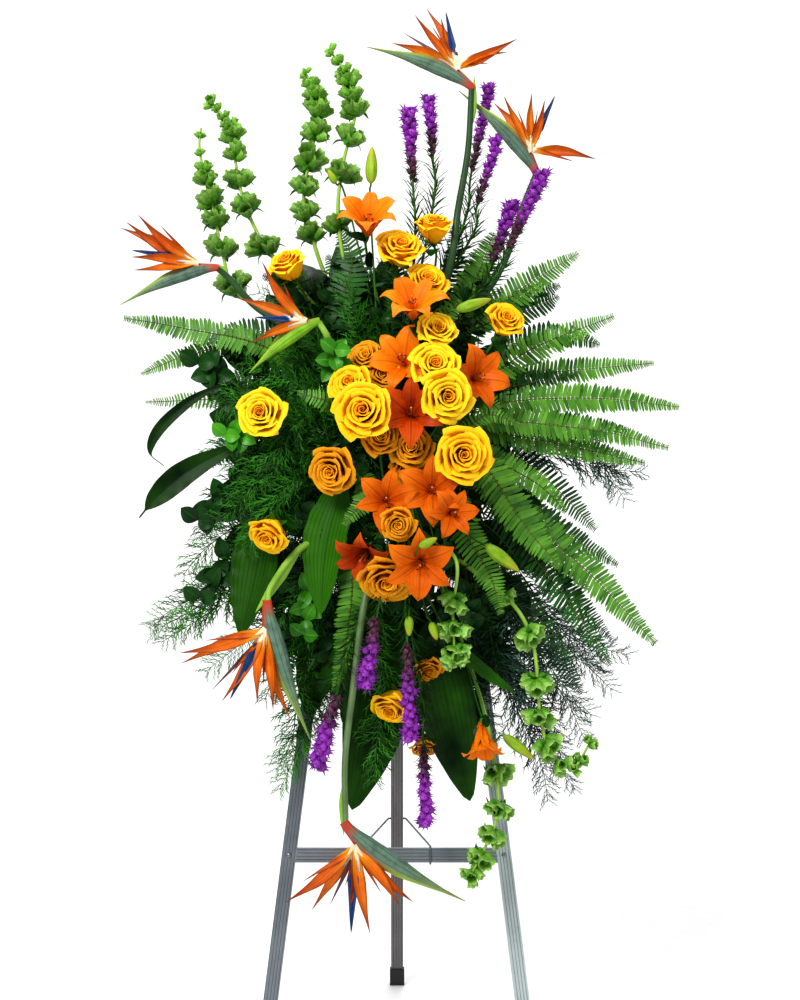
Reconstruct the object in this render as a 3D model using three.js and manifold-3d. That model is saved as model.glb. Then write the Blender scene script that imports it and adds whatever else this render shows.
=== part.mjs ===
// A standing funeral spray: roses, lilies, birds of paradise, blazing stars and bells of Ireland
// over sword fern and other greens, in wet foam on a folding aluminium easel.
// Millimetres, +Z up, +X to the right, the front looks to -Y, and the floor is z = 0.
import * as THREE from "three";
import { ConvexGeometry } from "three/addons/geometries/ConvexGeometry.js";
import { ParametricGeometry } from "three/addons/geometries/ParametricGeometry.js";
import { mergeVertices } from "three/addons/utils/BufferGeometryUtils.js";
import Module from "manifold-3d";

// Driving dimensions of the easel
const LEAN_DEGREES = 8; // the front frame leans back by this
const LEG_WIDTH = 24;
const LEG_DEPTH = 14;
const WALL = 2.4;
const FLUTES = 4;
const FLUTE_DEPTH = 1;
const FOOT_HALF_SPREAD = 227;
const LEG_SLOPE = 0.12; // sideways closing of the front legs for each mm of height
const EASEL_HEIGHT = 1345;
const BAR_ALONG = 381; // crossbar, measured up along the front frame
const BAR_DEPTH = 10;
const REAR_FOOT_BACK = 515;
const HINGE_BACK = 33; // hinge axis behind the front face of the legs
const HINGE_ALONG = 1331; // hinge axis, measured up along the front frame
const PIN_RADIUS = 3;
const WIRE_RADIUS = 1.6;
const HOOK_APART = 57;
const FOOT_PLUG = 8; // rubber under the end of each leg
const FOOT_TALL = 34;
const RUBBER = 2.5;

// Driving dimensions of the foam and its holder
const FOAM = { half: 95, tall: 280, deep: 75 };
const TRAY = { half: 100, tall: 292, plate: 4, wall: 3, rise: 16 };
const STRAP = { tall: 8, thick: 2, apart: 130, slack: 0.5 };
const SPRAY_ALONG = 1070; // centre of the foam, measured up along the front frame
const PEG_DEPTH = 28; // how far a bunch of stems stands in the foam
const GAP = 0.3; // clearance between pieces that touch
const GRID_STEPS = 500; // to the millimetre, for the corners of the finished pieces

// One pixel of the front view is PIXEL wide at the feet of the front legs
const PIXEL = 1.65;
const EYE = new THREE.Vector3(5.8, -2300, 977);
const MIDDLE = [400, 500];

const wasm = await Module();
wasm.setup();
const { Manifold, Mesh } = wasm;
const LEAN = THREE.MathUtils.degToRad(LEAN_DEGREES);
const { lerp } = THREE.MathUtils;
const vector = (list) => new THREE.Vector3(...list);
const between = (from, to) => new THREE.Vector3().subVectors(to, from);
const crossed = (a, b) => new THREE.Vector3().crossVectors(a, b);
const UP = vector([0, 0, 1]);
const FORWARD = vector([0, -1, 0]);

// A length in pixels of the front view, at a depth behind the front feet
const pixels = (count, depth) => (count * PIXEL * (depth - EYE.y)) / -EYE.y;

// A point seen at a pixel of the front view
function seen([pixelX, pixelY], depth) {
  const x = EYE.x + pixels(pixelX - MIDDLE[0], depth);
  return vector([x, depth, EYE.z + pixels(MIDDLE[1] - pixelY, depth)]);
}

// A point on the leaning front frame: sideways, behind its front face, and up along it
function onFrame(sideways, behind, along) {
  return vector([sideways, behind, along]).applyAxisAngle(vector([1, 0, 0]), -LEAN);
}

const curveOf = (points) => new THREE.CatmullRomCurve3(points, false, "catmullrom", 0.5);

// The stretch of a curve between two of its parameters
class Stretch extends THREE.Curve {
  constructor(whole, from, to) {
    super();
    Object.assign(this, { whole, from, to });
  }
  getPoint(t, target) {
    return this.whole.getPoint(this.from + (this.to - this.from) * t, target);
  }
}

// Two directions square to an axis, the first of them level where it can be
function squareTo(axis, up = UP) {
  const side = crossed(up, axis);
  if (side.length() < 1e-3) side.set(1, 0, 0);
  side.normalize();
  return [side, crossed(axis, side).normalize()];
}

// The two directions across a leaf that runs along a tangent and turns its face to the light
function acrossLeaf(tangent, face) {
  const side = crossed(tangent, face).normalize();
  return [side, crossed(side, tangent).normalize()];
}

// A closed solid from a three.js geometry, with its faces pointing outwards
function solid(geometry) {
  const bare = geometry.index ? geometry.toNonIndexed() : geometry.clone();
  for (const name of Object.keys(bare.attributes)) {
    if (name !== "position") bare.deleteAttribute(name);
  }
  const merged = mergeVertices(bare, 1e-3);
  const corners = merged.index.array;
  const faces = [];
  for (let i = 0; i < corners.length; i += 3) {
    const [a, b, c] = corners.slice(i, i + 3);
    if (a !== b && b !== c && c !== a) faces.push([a, b, c]);
  }
  const vertProperties = new Float32Array(merged.attributes.position.array);
  const build = (list) => {
    return new Manifold(new Mesh({ numProp: 3, vertProperties, triVerts: new Uint32Array(list.flat()) }));
  };
  const made = build(faces);
  return made.volume() < 0 ? build(faces.map(([a, b, c]) => [c, b, a])) : made;
}

const joined = (solids) => Manifold.union(solids);

// The largest body of a solid: loose scraps are dropped
function largest(made) {
  return made.decompose().sort((a, b) => b.volume() - a.volume())[0];
}

// The same body with its corners on a fine grid, so that no two of them lie closer than its step
function settled(made, steps) {
  const { vertProperties, triVerts } = made.getMesh();
  const geometry = new THREE.BufferGeometry();
  const snapped = vertProperties.map((value) => Math.round(value * steps) / steps);
  geometry.setAttribute("position", new THREE.BufferAttribute(snapped, 3));
  geometry.setIndex(Array.from(triVerts));
  return solid(geometry);
}

const UNTURNED = new THREE.Matrix4();

// A box between two corners, then moved by a matrix
function box(from, to, place = UNTURNED) {
  const size = to.map((high, i) => high - from[i]);
  const centre = to.map((high, i) => (high + from[i]) / 2);
  return solid(new THREE.BoxGeometry(...size).translate(...centre).applyMatrix4(place));
}

// The convex body drawn tight round another one
function wrapped(made) {
  const { vertProperties } = made.getMesh();
  const corners = Array.from({ length: vertProperties.length / 3 }, (_, i) => {
    return new THREE.Vector3().fromArray(vertProperties, 3 * i);
  });
  return solid(new ConvexGeometry(corners));
}

// Everything below a height
const below = (height) => box([-900, -900, -300], [900, 900, height]);

// A stem of even thickness along a curve
function tube(curve, radius, steps, sides = 5) {
  const corners = Array.from({ length: sides }, (_, i) => {
    const turn = (i / sides) * 2 * Math.PI;
    return new THREE.Vector2(radius * Math.cos(turn), radius * Math.sin(turn));
  });
  const options = { steps, bevelEnabled: false, extrudePath: curve };
  return solid(new THREE.ExtrudeGeometry(new THREE.Shape(corners), options));
}

// A straight rod that runs past both of its ends
function rod(from, to, radius, past = 0, sides = 6) {
  const more = between(from, to).setLength(past);
  const line = new THREE.LineCurve3(from.clone().sub(more), to.clone().add(more));
  return tube(line, radius, 1, sides);
}

// A closed surface of rings across a curve: radiusAt gives each ring's reach at a row and a column
function skinned(curve, stations, slices, radiusAt) {
  const last = stations.length + 1;
  const surface = (u, v, at) => {
    const row = Math.round(v * last);
    const inner = Math.min(Math.max(row - 1, 0), stations.length - 1);
    const column = Math.round(u * slices) % slices;
    const angle = (2 * Math.PI * column) / slices;
    const [side, over] = squareTo(curve.getTangent(stations[inner]), FORWARD);
    const out = row === 0 || row === last ? 0 : radiusAt(inner, column);
    at.copy(curve.getPoint(stations[inner]))
      .addScaledVector(side, out * Math.cos(angle))
      .addScaledVector(over, out * Math.sin(angle));
  };
  return solid(new ParametricGeometry(surface, slices, last));
}

// A wire bent at corners: its rings stand on the corners and halve their angles
function bentWire(corners, radius, slices = 6) {
  const ways = corners.slice(1).map((to, i) => between(corners[i], to).normalize());
  let side = squareTo(ways[0])[0];
  const rings = corners.map((corner, i) => {
    const [before, after] = [ways[Math.max(i - 1, 0)], ways[Math.min(i, ways.length - 1)]];
    const half = before.clone().add(after).normalize();
    side = side.clone().addScaledVector(before, -side.dot(before)).normalize();
    const over = crossed(before, side);
    return Array.from({ length: slices }, (_, k) => {
      const angle = (2 * Math.PI * k) / slices;
      const spoke = side.clone().multiplyScalar(radius * Math.cos(angle));
      spoke.addScaledVector(over, radius * Math.sin(angle));
      return corner.clone().add(spoke).addScaledVector(before, -spoke.dot(half) / before.dot(half));
    });
  });
  const last = corners.length + 1;
  const surface = (u, v, at) => {
    const row = Math.round(v * last);
    if (row === 0) at.copy(corners[0]);
    else if (row === last) at.copy(corners[corners.length - 1]);
    else at.copy(rings[row - 1][Math.round(u * slices) % slices]);
  };
  return solid(new ParametricGeometry(surface, slices, last));
}

// A body of rings round an axis: a ring has its reach out and its place up, as shares of the scale
function ringed(base, axis, scale, rings, { slices = 8, lobes = 4, flat = 1, grow = 0 } = {}) {
  const [side, over] = squareTo(axis);
  const last = rings.length - 1;
  const surface = (u, v, at) => {
    const row = Math.round(v * last);
    const { out, up, wave = 0, turn = 0 } = rings[row];
    const angle = 2 * Math.PI * u;
    const reach = out ? scale * out * (1 + wave * Math.cos(lobes * angle + turn)) + grow : 0;
    at.copy(base)
      .addScaledVector(axis, scale * up + grow * Math.sign(2 * row - last))
      .addScaledVector(side, flat * reach * Math.cos(angle))
      .addScaledVector(over, reach * Math.sin(angle));
  };
  return solid(new ParametricGeometry(surface, slices, last));
}

// A spindle between two points, such as a bud or a sheath: radii at even steps between its ends
function spindle(from, to, radii, { slices = 5, flat = 1, grow = 0 } = {}) {
  const length = between(from, to).length();
  const rings = [0, ...radii, 0].map((out, i) => ({ out, up: (length * i) / (radii.length + 1) }));
  return ringed(from, between(from, to).normalize(), 1, rings, { slices, flat, grow });
}

// A twig, a stamen or a style: a double cone of three sides
const needle = (from, to, radius, grow) => spindle(from, to, [radius], { slices: 3, grow });

// A leaf or a petal: a thin lens along a spine, its edges raised towards its face by the cup
function blade(spine, halfWidth, face, { thick = 1.2, cup = 0, steps = 4, grow = 0 } = {}) {
  const surface = (u, v, at) => {
    const row = Math.round(v * steps);
    const ended = row === 0 || row === steps;
    const [side, over] = acrossLeaf(spine.getTangent(v), face);
    const width = ended ? 0 : halfWidth(v) + grow;
    const half = ended ? 0 : thick / 2 + grow;
    const corner = Math.round(u * 4) % 4;
    at.copy(spine.getPoint(v));
    if (corner === 0 || corner === 2) {
      at.addScaledVector(side, corner ? -width : width).addScaledVector(over, cup * width);
    } else {
      at.addScaledVector(over, corner === 1 ? half : -half);
    }
  };
  return solid(new ParametricGeometry(surface, 4, steps));
}

// A frond: a stalk, then a thin blade whose outline is cut in to its rib between the leaflets;
// fill is the share of the rib that each leaflet stands on
function frond(rib, from, leaflets, width, face, { fill = 1, sweep = 0.3, thick = 1.2, grow = 0 } = {}) {
  const droop = 0.12;
  const positions = [];
  const faces = [];
  const corner = (point) => positions.push(...point.toArray()) / 3 - 1;
  const ribRow = (t) => {
    const [side, over] = acrossLeaf(rib.getTangent(t), face);
    const [wide, half] = [lerp(2, 1.1, t) + grow, lerp(1.6, thick / 2, Math.min(1, t / from)) + grow];
    const at = (x, y) => corner(rib.getPoint(t).addScaledVector(side, x).addScaledVector(over, y));
    return { left: at(wide, half), right: at(-wide, half), low: at(0, -half) };
  };
  const tip = (t, reach) => {
    const tangent = rib.getTangent(t);
    const [side, over] = acrossLeaf(tangent, face);
    const end = rib.getPoint(t).addScaledVector(side, reach);
    end.addScaledVector(tangent, sweep * Math.abs(reach)).addScaledVector(over, -droop * Math.abs(reach));
    return corner(end);
  };
  const quad = (a, b, c, d) => faces.push(a, b, c, a, c, d);
  const top = (a, b) => quad(a.left, a.right, b.right, b.left);
  const flanks = (a, b) => [[b.left, b.low, a.low, a.left], [a.right, a.low, b.low, b.right]];
  let row = ribRow(0);
  faces.push(row.low, row.right, row.left);
  const advance = (t) => {
    const next = ribRow(t);
    top(row, next);
    for (const flank of flanks(row, next)) quad(...flank);
    row = next;
  };
  advance(0.5 * from);
  advance(from);
  for (let i = 0; i < leaflets; i++) {
    const pitch = (1 - from) / leaflets;
    const start = from + i * pitch;
    const next = ribRow(start + fill * pitch);
    const reach = width((i + 0.5) / leaflets) + 6 * grow;
    top(row, next);
    flanks(row, next).forEach((flank, j) => {
      const point = tip(start + 0.5 * fill * pitch, j ? -reach : reach);
      flank.forEach((first, k) => faces.push(first, flank[(k + 1) % 4], point));
    });
    row = next;
    if (fill < 1) advance(start + pitch);
  }
  faces.push(row.left, row.right, row.low);
  const made = new THREE.BufferGeometry();
  made.setAttribute("position", new THREE.Float32BufferAttribute(positions, 3));
  made.setIndex(faces);
  return solid(made);
}

// Every piece, in the order in which a later one gives way to an earlier one
const pieces = [];
function piece(name, colour, build, finish = {}) {
  pieces.push({ name, colour, build, finish });
}

// The easel

// The fluted front of a bar, and the channel behind it
function channelOutline(depth) {
  const half = LEG_WIDTH / 2;
  const strips = 2 * FLUTES + 1;
  const front = Array.from({ length: strips }, (_, i) => {
    const y = i % 2 ? FLUTE_DEPTH : 0;
    return [i, i + 1].map((edge) => [-half + (edge * LEG_WIDTH) / strips, y]);
  }).flat();
  const web = FLUTE_DEPTH + WALL;
  const inner = half - WALL;
  const right = [[half, depth], [inner, depth], [inner, web]];
  return [...front, ...right, ...right.map(([x, y]) => [-x, y]).reverse()];
}

// A bar between two points with its fluted face to the front: grown, it is a plain block
function bar(from, to, depth, grow, place = UNTURNED) {
  const half = LEG_WIDTH / 2 + grow;
  const block = [[-half, -grow], [half, -grow], [half, depth + grow], [-half, depth + grow]];
  const outline = (grow ? block : channelOutline(depth)).map((corner) => new THREE.Vector2(...corner));
  const options = { depth: between(from, to).length(), bevelEnabled: false };
  const axis = between(from, to).normalize();
  const wide = crossed(axis, FORWARD).normalize();
  const turn = new THREE.Matrix4().makeBasis(wide, crossed(axis, wide), axis).setPosition(from);
  turn.premultiply(place);
  return solid(new THREE.ExtrudeGeometry(new THREE.Shape(outline), options).applyMatrix4(turn));
}

const LEANING = new THREE.Matrix4().makeRotationX(-LEAN);
const LEG_TOP = EASEL_HEIGHT / Math.cos(LEAN);
const legAcross = (along) => FOOT_HALF_SPREAD - LEG_SLOPE * along * Math.cos(LEAN);
const onLeg = (way, along) => onFrame(way * legAcross(along), 0, along);
const hinge = onFrame(0, HINGE_BACK, HINGE_ALONG);
const rearward = between(hinge, vector([0, REAR_FOOT_BACK, 0])).normalize();
const onRearLeg = (height) => hinge.clone().addScaledVector(rearward, (hinge.z - height) / -rearward.z);

// The left leg for way -1 and the right one for 1, with the rivet of the crossbar
function frontLeg(way, grow) {
  const at = onLeg(way, BAR_ALONG);
  const [head, tail] = [-1.2 - grow, 3].map((y) => at.clone().add(vector([0, y, 0])));
  const leg = bar(onLeg(way, -40), onLeg(way, LEG_TOP), LEG_DEPTH, grow);
  return leg.add(rod(head, tail, 3.2 + grow, 0, 8)).subtract(below(FOOT_PLUG - grow));
}

function rearLeg(grow) {
  const middle = vector([0, -LEG_DEPTH / 2, 0]);
  const top = hinge.clone().addScaledVector(rearward, -10);
  return bar(onRearLeg(-40).add(middle), top.add(middle), LEG_DEPTH, grow);
}

function crossbar(grow) {
  const ends = [-1, 1].map((way) => vector([way * FOOT_HALF_SPREAD * 0.9, 0, BAR_ALONG]));
  return bar(...ends, BAR_DEPTH, grow, LEANING);
}

// The plate across the heads of the legs, with two ears and the pin on which the rear leg turns
function hingeBracket(grow) {
  const half = legAcross(LEG_TOP) + LEG_WIDTH / 2;
  const back = LEG_DEPTH + GAP;
  const flat = (from, to) => {
    return box(from.map((low) => low - grow), to.map((high) => high + grow), LEANING);
  };
  const inner = LEG_WIDTH / 2 + 1;
  const ears = [-inner - 3, inner].map((x) => {
    return flat([x, back, HINGE_ALONG - 14], [x + 3, HINGE_BACK + 10, HINGE_ALONG + 14]);
  });
  const reach = vector([inner + 6, 0, 0]);
  const pin = rod(hinge.clone().sub(reach), hinge.clone().add(reach), PIN_RADIUS + grow, 0, 10);
  return joined([flat([-half, back, HINGE_ALONG - 30], [half, back + 3, HINGE_ALONG + 16]), ...ears, pin]);
}

// The wire that stays the rear leg: hooked over the crossbar at both ends, it passes behind the leg
function stayWire(grow) {
  const clear = WIRE_RADIUS + 0.6;
  const low = BAR_ALONG - LEG_WIDTH / 2 - clear;
  const high = BAR_ALONG + LEG_WIDTH / 2 + clear;
  const behind = onRearLeg(350);
  const leg = LEG_WIDTH / 2;
  const bends = [
    onFrame(HOOK_APART, BAR_DEPTH - 3, low),
    onFrame(HOOK_APART, -clear, low),
    onFrame(HOOK_APART, -clear, high),
    onFrame(HOOK_APART, BAR_DEPTH, high),
    vector([leg + 5, behind.y + LEG_DEPTH / 2 + clear + 1, behind.z]),
  ];
  const mirrored = bends.map(({ x, y, z }) => vector([-x, y, z])).reverse();
  const wire = [...bends, ...mirrored];
  return bentWire(wire, WIRE_RADIUS + grow);
}

// A rubber cap over the end of a leg, flat on the floor
function foot(leg, grow) {
  return leg(RUBBER + grow).trimByPlane([0, 0, -1], -FOOT_TALL - grow).subtract(below(0));
}

const METAL = { metalness: 0.9, roughness: 0.45 };
const hands = [["left", -1], ["right", 1]];
for (const [side, way] of hands) piece(`leg_${side}`, 0x9aa3a8, (grow) => frontLeg(way, grow), METAL);
piece("crossbar", 0x9aa3a8, crossbar, METAL);
piece("hinge_bracket", 0x8c9194, hingeBracket, METAL);
piece("leg_rear", 0x5b5e60, (grow) => rearLeg(grow).subtract(below(FOOT_PLUG - grow)), METAL);
for (const [side, way] of hands) {
  const leg = (more) => bar(onLeg(way, -40), onLeg(way, 90), LEG_DEPTH, more);
  piece(`foot_${side}`, 0x1d1d1d, (grow) => foot(leg, grow));
}
piece("foot_rear", 0x1d1d1d, (grow) => foot(rearLeg, grow));
piece("stay_wire", 0x4d5052, stayWire, METAL);

// The foam in its holder

// A box on the front frame, measured from the middle of the foam
const ON_SPRAY = LEANING.clone().multiply(new THREE.Matrix4().makeTranslation(0, 0, SPRAY_ALONG));
function holderBox(from, to, grow = 0) {
  return box(from.map((low) => low - grow), to.map((high) => high + grow), ON_SPRAY);
}

const FOAM_BACK = -TRAY.plate - 2 * GAP;
const FOAM_FRONT = FOAM_BACK - FOAM.deep;
const FOAM_MIDDLE = FOAM_BACK - FOAM.deep / 2 - 4;

function foam(grow) {
  return holderBox([-FOAM.half, FOAM_FRONT, -FOAM.tall / 2], [FOAM.half, FOAM_BACK, FOAM.tall / 2], grow);
}

// A shallow tray against the front of the legs
function tray(grow) {
  const { half, tall, plate, wall, rise } = TRAY;
  const room = [half - wall, -plate - GAP / 2, tall / 2 - wall];
  const outer = holderBox([-half, -plate - rise, -tall / 2], [half, -GAP, tall / 2], grow);
  return outer.subtract(holderBox([-room[0], -plate - rise - 9, -room[2]], room, -grow / 2));
}

// A strap drawn round the foam and both front legs, and fixed to the sides of the tray
function strap(height, grow) {
  const around = (more, tall) => {
    const slab = holderBox([-300, -300, height - tall / 2], [300, 300, height + tall / 2]);
    const legs = [-1, 1].map((way) => bar(onLeg(way, 800), onLeg(way, 1300), LEG_DEPTH, more));
    return wrapped(joined([foam(more), ...legs]).intersect(slab));
  };
  const { slack, thick, tall } = STRAP;
  const ring = around(slack + thick + grow, tall + 2 * grow).subtract(around(slack - grow, tall * 3));
  const lugs = [-1, 1].map((way) => {
    const [inner, outer] = [way * (TRAY.half - 2), way * (TRAY.half + 40)].sort((a, b) => a - b);
    return holderBox([inner, -14, height - tall / 2], [outer, -10, height + tall / 2], grow);
  });
  return ring.add(joined(lugs).intersect(around(slack + thick / 2 + grow, tall)));
}

piece("holder", 0x2f5a3a, (grow) => {
  return joined([tray(grow), strap(STRAP.apart / 2, grow), strap(-STRAP.apart / 2, grow)]);
});

// A bunch's place on the foam: a point on one of its faces, and the way its stems leave there
function hub(sideways, behind, height, way, radius = 6) {
  const at = onFrame(sideways, behind, SPRAY_ALONG + height);
  const out = vector(way).normalize();
  const [root, start] = [-PEG_DEPTH, 14].map((step) => at.clone().addScaledVector(out, step));
  return { root, start, out, radius };
}

// The foot of a bunch: a peg in a plain hole of the foam, and the knot where its stems part
function peg({ root, start, radius }, grow) {
  const foot = root.clone().sub(between(root, start).setLength(grow));
  const line = new THREE.LineCurve3(foot, start);
  const share = radius / between(root, start).length();
  const rings = [[0, 1], [1 - 1.2 * share, 1], [1, 1.7], [1 + 1.4 * share, 0.8]];
  return skinned(line, rings.map(([t]) => t), 6, (row) => rings[row][1] * radius + grow);
}

const [TOP, SIDE] = [FOAM.tall / 2, FOAM.half];
const HUBS = {
  blooms: hub(0, FOAM_FRONT, 0, [0, -1, 0], 9),
  birdsTop: hub(42, FOAM_MIDDLE, TOP, [0.1, 0, 1]),
  birdsLeft: hub(-SIDE, FOAM_MIDDLE - 12, 112, [-1, -0.2, 0.5]),
  birdsLow: hub(-32, FOAM_MIDDLE - 14, -TOP, [-0.1, -0.2, -1]),
  starsTop: hub(8, FOAM_MIDDLE + 6, TOP, [0, 0, 1]),
  starsLow: hub(4, FOAM_MIDDLE - 14, -TOP, [0, -0.2, -1]),
  bellsTop: hub(-40, FOAM_MIDDLE, TOP, [-0.3, 0, 1]),
  bellsLow: hub(46, FOAM_MIDDLE - 10, -TOP, [0.3, -0.2, -1]),
  fernsUpper: hub(SIDE, FOAM_MIDDLE + 6, 100, [1, 0, 0.3]),
  fernsLower: hub(SIDE, FOAM_MIDDLE + 6, 20, [1, 0, -0.1]),
  fernsLeft: hub(-SIDE, FOAM_MIDDLE + 8, 36, [-1, 0, 0.1]),
  leavesLeft: hub(-SIDE, FOAM_MIDDLE + 4, -14, [-1, 0, -0.2]),
  leavesLow: hub(0, FOAM_MIDDLE + 20, -TOP, [0, 0.1, -1]),
  asparagusLeft: hub(-SIDE, FOAM_MIDDLE, -108, [-1, 0, -0.3]),
  asparagusRight: hub(SIDE, FOAM_MIDDLE, -108, [1, 0, -0.3]),
  sprigs: hub(-SIDE, FOAM_MIDDLE - 18, 8, [-1, -0.3, 0.2]),
};

// The points of a stem or a midrib, its depth running evenly from its first pixel to its last
function traced(path, depth) {
  return path.map((pixel, i) => seen(pixel, lerp(depth[0], depth[1], i / (path.length - 1))));
}

// The blooms: at a pixel and a depth, with a radius in pixels, facing a way

const ROSES = {
  rose_01: [{ at: [286, 263], depth: -10, radius: 19, faces: [-0.4, -0.6, 0.7] }],
  rose_02: [{ at: [434, 224], depth: 20, radius: 19, faces: [0, -0.45, 0.9] }],
  rose_03: [{ at: [401, 248], depth: -12, radius: 24, faces: [0.1, -0.75, 0.65] }],
  rose_04: [{ at: [427, 281], depth: -14, radius: 21, faces: [0.3, -0.8, 0.5] }],
  roses_05_08_09: [
    { at: [437, 330], depth: -50, radius: 21, faces: [0.2, -0.8, 0.5] },
    { at: [435, 365], depth: -75, radius: 24, faces: [0.1, -0.95, 0.3] },
    { at: [447, 396], depth: -92, radius: 26, faces: [0.15, -0.95, -0.1] },
  ],
  rose_06: [{ at: [506, 320], depth: -20, radius: 19, faces: [0.3, -0.8, 0.5] }],
  rose_07: [{ at: [261, 413], depth: -30, radius: 24, faces: [-0.15, -0.97, 0.15] }],
  roses_10_11: [
    { at: [350, 384], depth: -80, radius: 21, faces: [-0.25, -0.9, 0.4] },
    { at: [364, 411], depth: -104, radius: 29, faces: [-0.15, -0.97, 0.1] },
  ],
  rose_12: [{ at: [463, 455], depth: -100, radius: 28, faces: [0.15, -0.98, 0] }],
  rose_13: [{ at: [332, 471], depth: -50, radius: 24, faces: [-0.3, -0.9, -0.2] }],
  roses_14_24: [
    { at: [383, 376], depth: -40, radius: 18, faces: [0, -0.9, 0.4] },
    { at: [366, 356], depth: -34, radius: 17, faces: [-0.2, -0.8, 0.5] },
  ],
  roses_15_16_17: [
    { at: [381, 436], depth: -72, radius: 19, faces: [-0.1, -0.95, 0.1] },
    { at: [411, 447], depth: -62, radius: 22, faces: [0, -0.98, 0.1] },
    { at: [408, 470], depth: -50, radius: 17, faces: [0, -0.95, -0.3] },
  ],
  rose_18: [{ at: [398, 524], depth: -70, radius: 17, faces: [0, -0.95, -0.25] }],
  rose_19: [{ at: [268, 536], depth: -40, radius: 20, faces: [-0.3, -0.7, -0.6] }],
  rose_20: [{ at: [387, 578], depth: -70, radius: 28, faces: [0, -0.8, -0.6] }],
  rose_21: [{ at: [391, 708], depth: -10, radius: 20, faces: [-0.3, -0.7, -0.6] }],
  rose_22: [{ at: [428, 670], depth: 20, radius: 16, faces: [0.2, -0.7, -0.6] }],
  rose_23: [{ at: [425, 748], depth: 30, radius: 14, faces: [0.1, -0.6, -0.8] }],
};
const LILIES = {
  lily_01: [{ at: [369, 225], depth: -10, radius: 33, faces: [0, -0.5, 0.87], point: [369, 188] }],
  lily_02: [{ at: [413, 305], depth: -60, radius: 36, faces: [0, -0.7, 0.7], point: [382, 300] }],
  lily_03: [{ at: [404, 360], depth: -68, radius: 36, faces: [-0.2, -0.92, 0.3], point: [374, 327] }],
  lily_04: [{ at: [477, 377], depth: -50, radius: 34, faces: [0.35, -0.88, 0.1], point: [508, 346] }],
  lily_05: [{ at: [411, 412], depth: -96, radius: 36, faces: [0, -0.97, 0.2], point: [409, 379] }],
  lilies_06_07_08: [
    { at: [386, 500], depth: -90, radius: 33, faces: [0, -0.97, 0.1], point: [382, 463] },
    { at: [432, 490], depth: -84, radius: 37, faces: [0, -0.97, 0.1], point: [431, 451] },
    { at: [453, 513], depth: -98, radius: 27, faces: [0.2, -0.95, 0], point: [463, 491] },
  ],
  lily_09: [{ at: [420, 564], depth: -104, radius: 38, faces: [0, -0.95, -0.2], point: [420, 520] }],
  lily_10: [{ at: [363, 553], depth: -55, radius: 28, faces: [-0.3, -0.7, -0.65], point: [334, 573] }],
  lily_11: [
    { at: [483, 746], depth: -20, radius: 20, faces: [0.1, -0.35, -0.95], point: [500, 756], closed: 0.55 },
  ],
};
const BUDS = [
  { from: [371, 184], to: [372, 147], depth: -10, half: 5.5 },
  { from: [456, 310], to: [491, 299], depth: -70, half: 5 },
  { from: [419, 547], to: [437, 538], depth: -128, half: 4 },
  { from: [485, 545], to: [519, 571], depth: -60, half: 6 },
  { from: [409, 616], to: [409, 636], depth: -60, half: 4.5 },
  { from: [431, 622], to: [437, 640], depth: -50, half: 4.5 },
  { from: [503, 735], to: [534, 758], depth: -10, half: 6 },
  { from: [336, 184], to: [328, 170], depth: 0, half: 3.5 },
];

// A curved stem from the hub of the blooms to the back of one
function bloomStem(end, faces, radius, grow) {
  const { start } = HUBS.blooms;
  const back = Math.min(60, 0.3 * between(start, end).length());
  return tube(curveOf([start, end.clone().addScaledVector(faces, -back), end]), radius + grow, 2, 3);
}

function bloomStems(grow) {
  const toBloom = (sunk, thick) => ({ at, depth, radius, faces }) => {
    const way = vector(faces).normalize();
    const end = seen(at, depth).addScaledVector(way, -sunk * pixels(radius, depth));
    return bloomStem(end, way, thick, grow);
  };
  const buds = BUDS.flatMap(({ from, to, depth, half }) => {
    const [base, tip] = [seen(from, depth), seen(to, depth - 5)];
    const way = between(base, tip).normalize();
    const radii = [1, 0.7].map((part) => part * pixels(half, depth));
    const bud = spindle(base, tip, radii, { slices: 4, grow });
    return [bloomStem(base.clone().addScaledVector(way, 8), way, 2, grow), bud];
  });
  return joined([
    peg(HUBS.blooms, grow),
    ...Object.values(ROSES).map(([first]) => first).map(toBloom(0.3, 2.4)),
    ...Object.values(LILIES).map(([first]) => first).map(toBloom(0.4, 2.6)),
    ...buds,
  ]);
}

// A rose: nested rims of petals round a tight heart, each rim turned by half a petal
const ROSE_RINGS = [
  { out: 0, up: -0.72 },
  { out: 0.5, up: -0.54 },
  { out: 1.0, up: 0.05, wave: 0.13 },
  { out: 0.74, up: 0.02, wave: 0.05 },
  { out: 0.7, up: 0.3, wave: 0.12, turn: Math.PI },
  { out: 0.42, up: 0.14, wave: 0.05 },
  { out: 0.32, up: 0.42, wave: 0.12 },
  { out: 0, up: 0.2 },
];

function rose({ at, depth, radius, faces }, grow) {
  const size = pixels(radius, depth) + 1.5 * grow;
  const made = ringed(seen(at, depth), vector(faces).normalize(), size, ROSE_RINGS);
  return grow ? wrapped(made) : made;
}

// A lily: a bowl with the outline of six petals, curved back at their tips, on a pointed base.
// The outline of a petal is given by degrees from its middle, and its reach there
const PETAL_OUTLINE = [[-30, 0.24], [-20, 0.66], [0, 1], [20, 0.66]];
const LILY_ROWS = [0, 0.5, 1, 0];
const LILY_BASE = -0.5;

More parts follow.
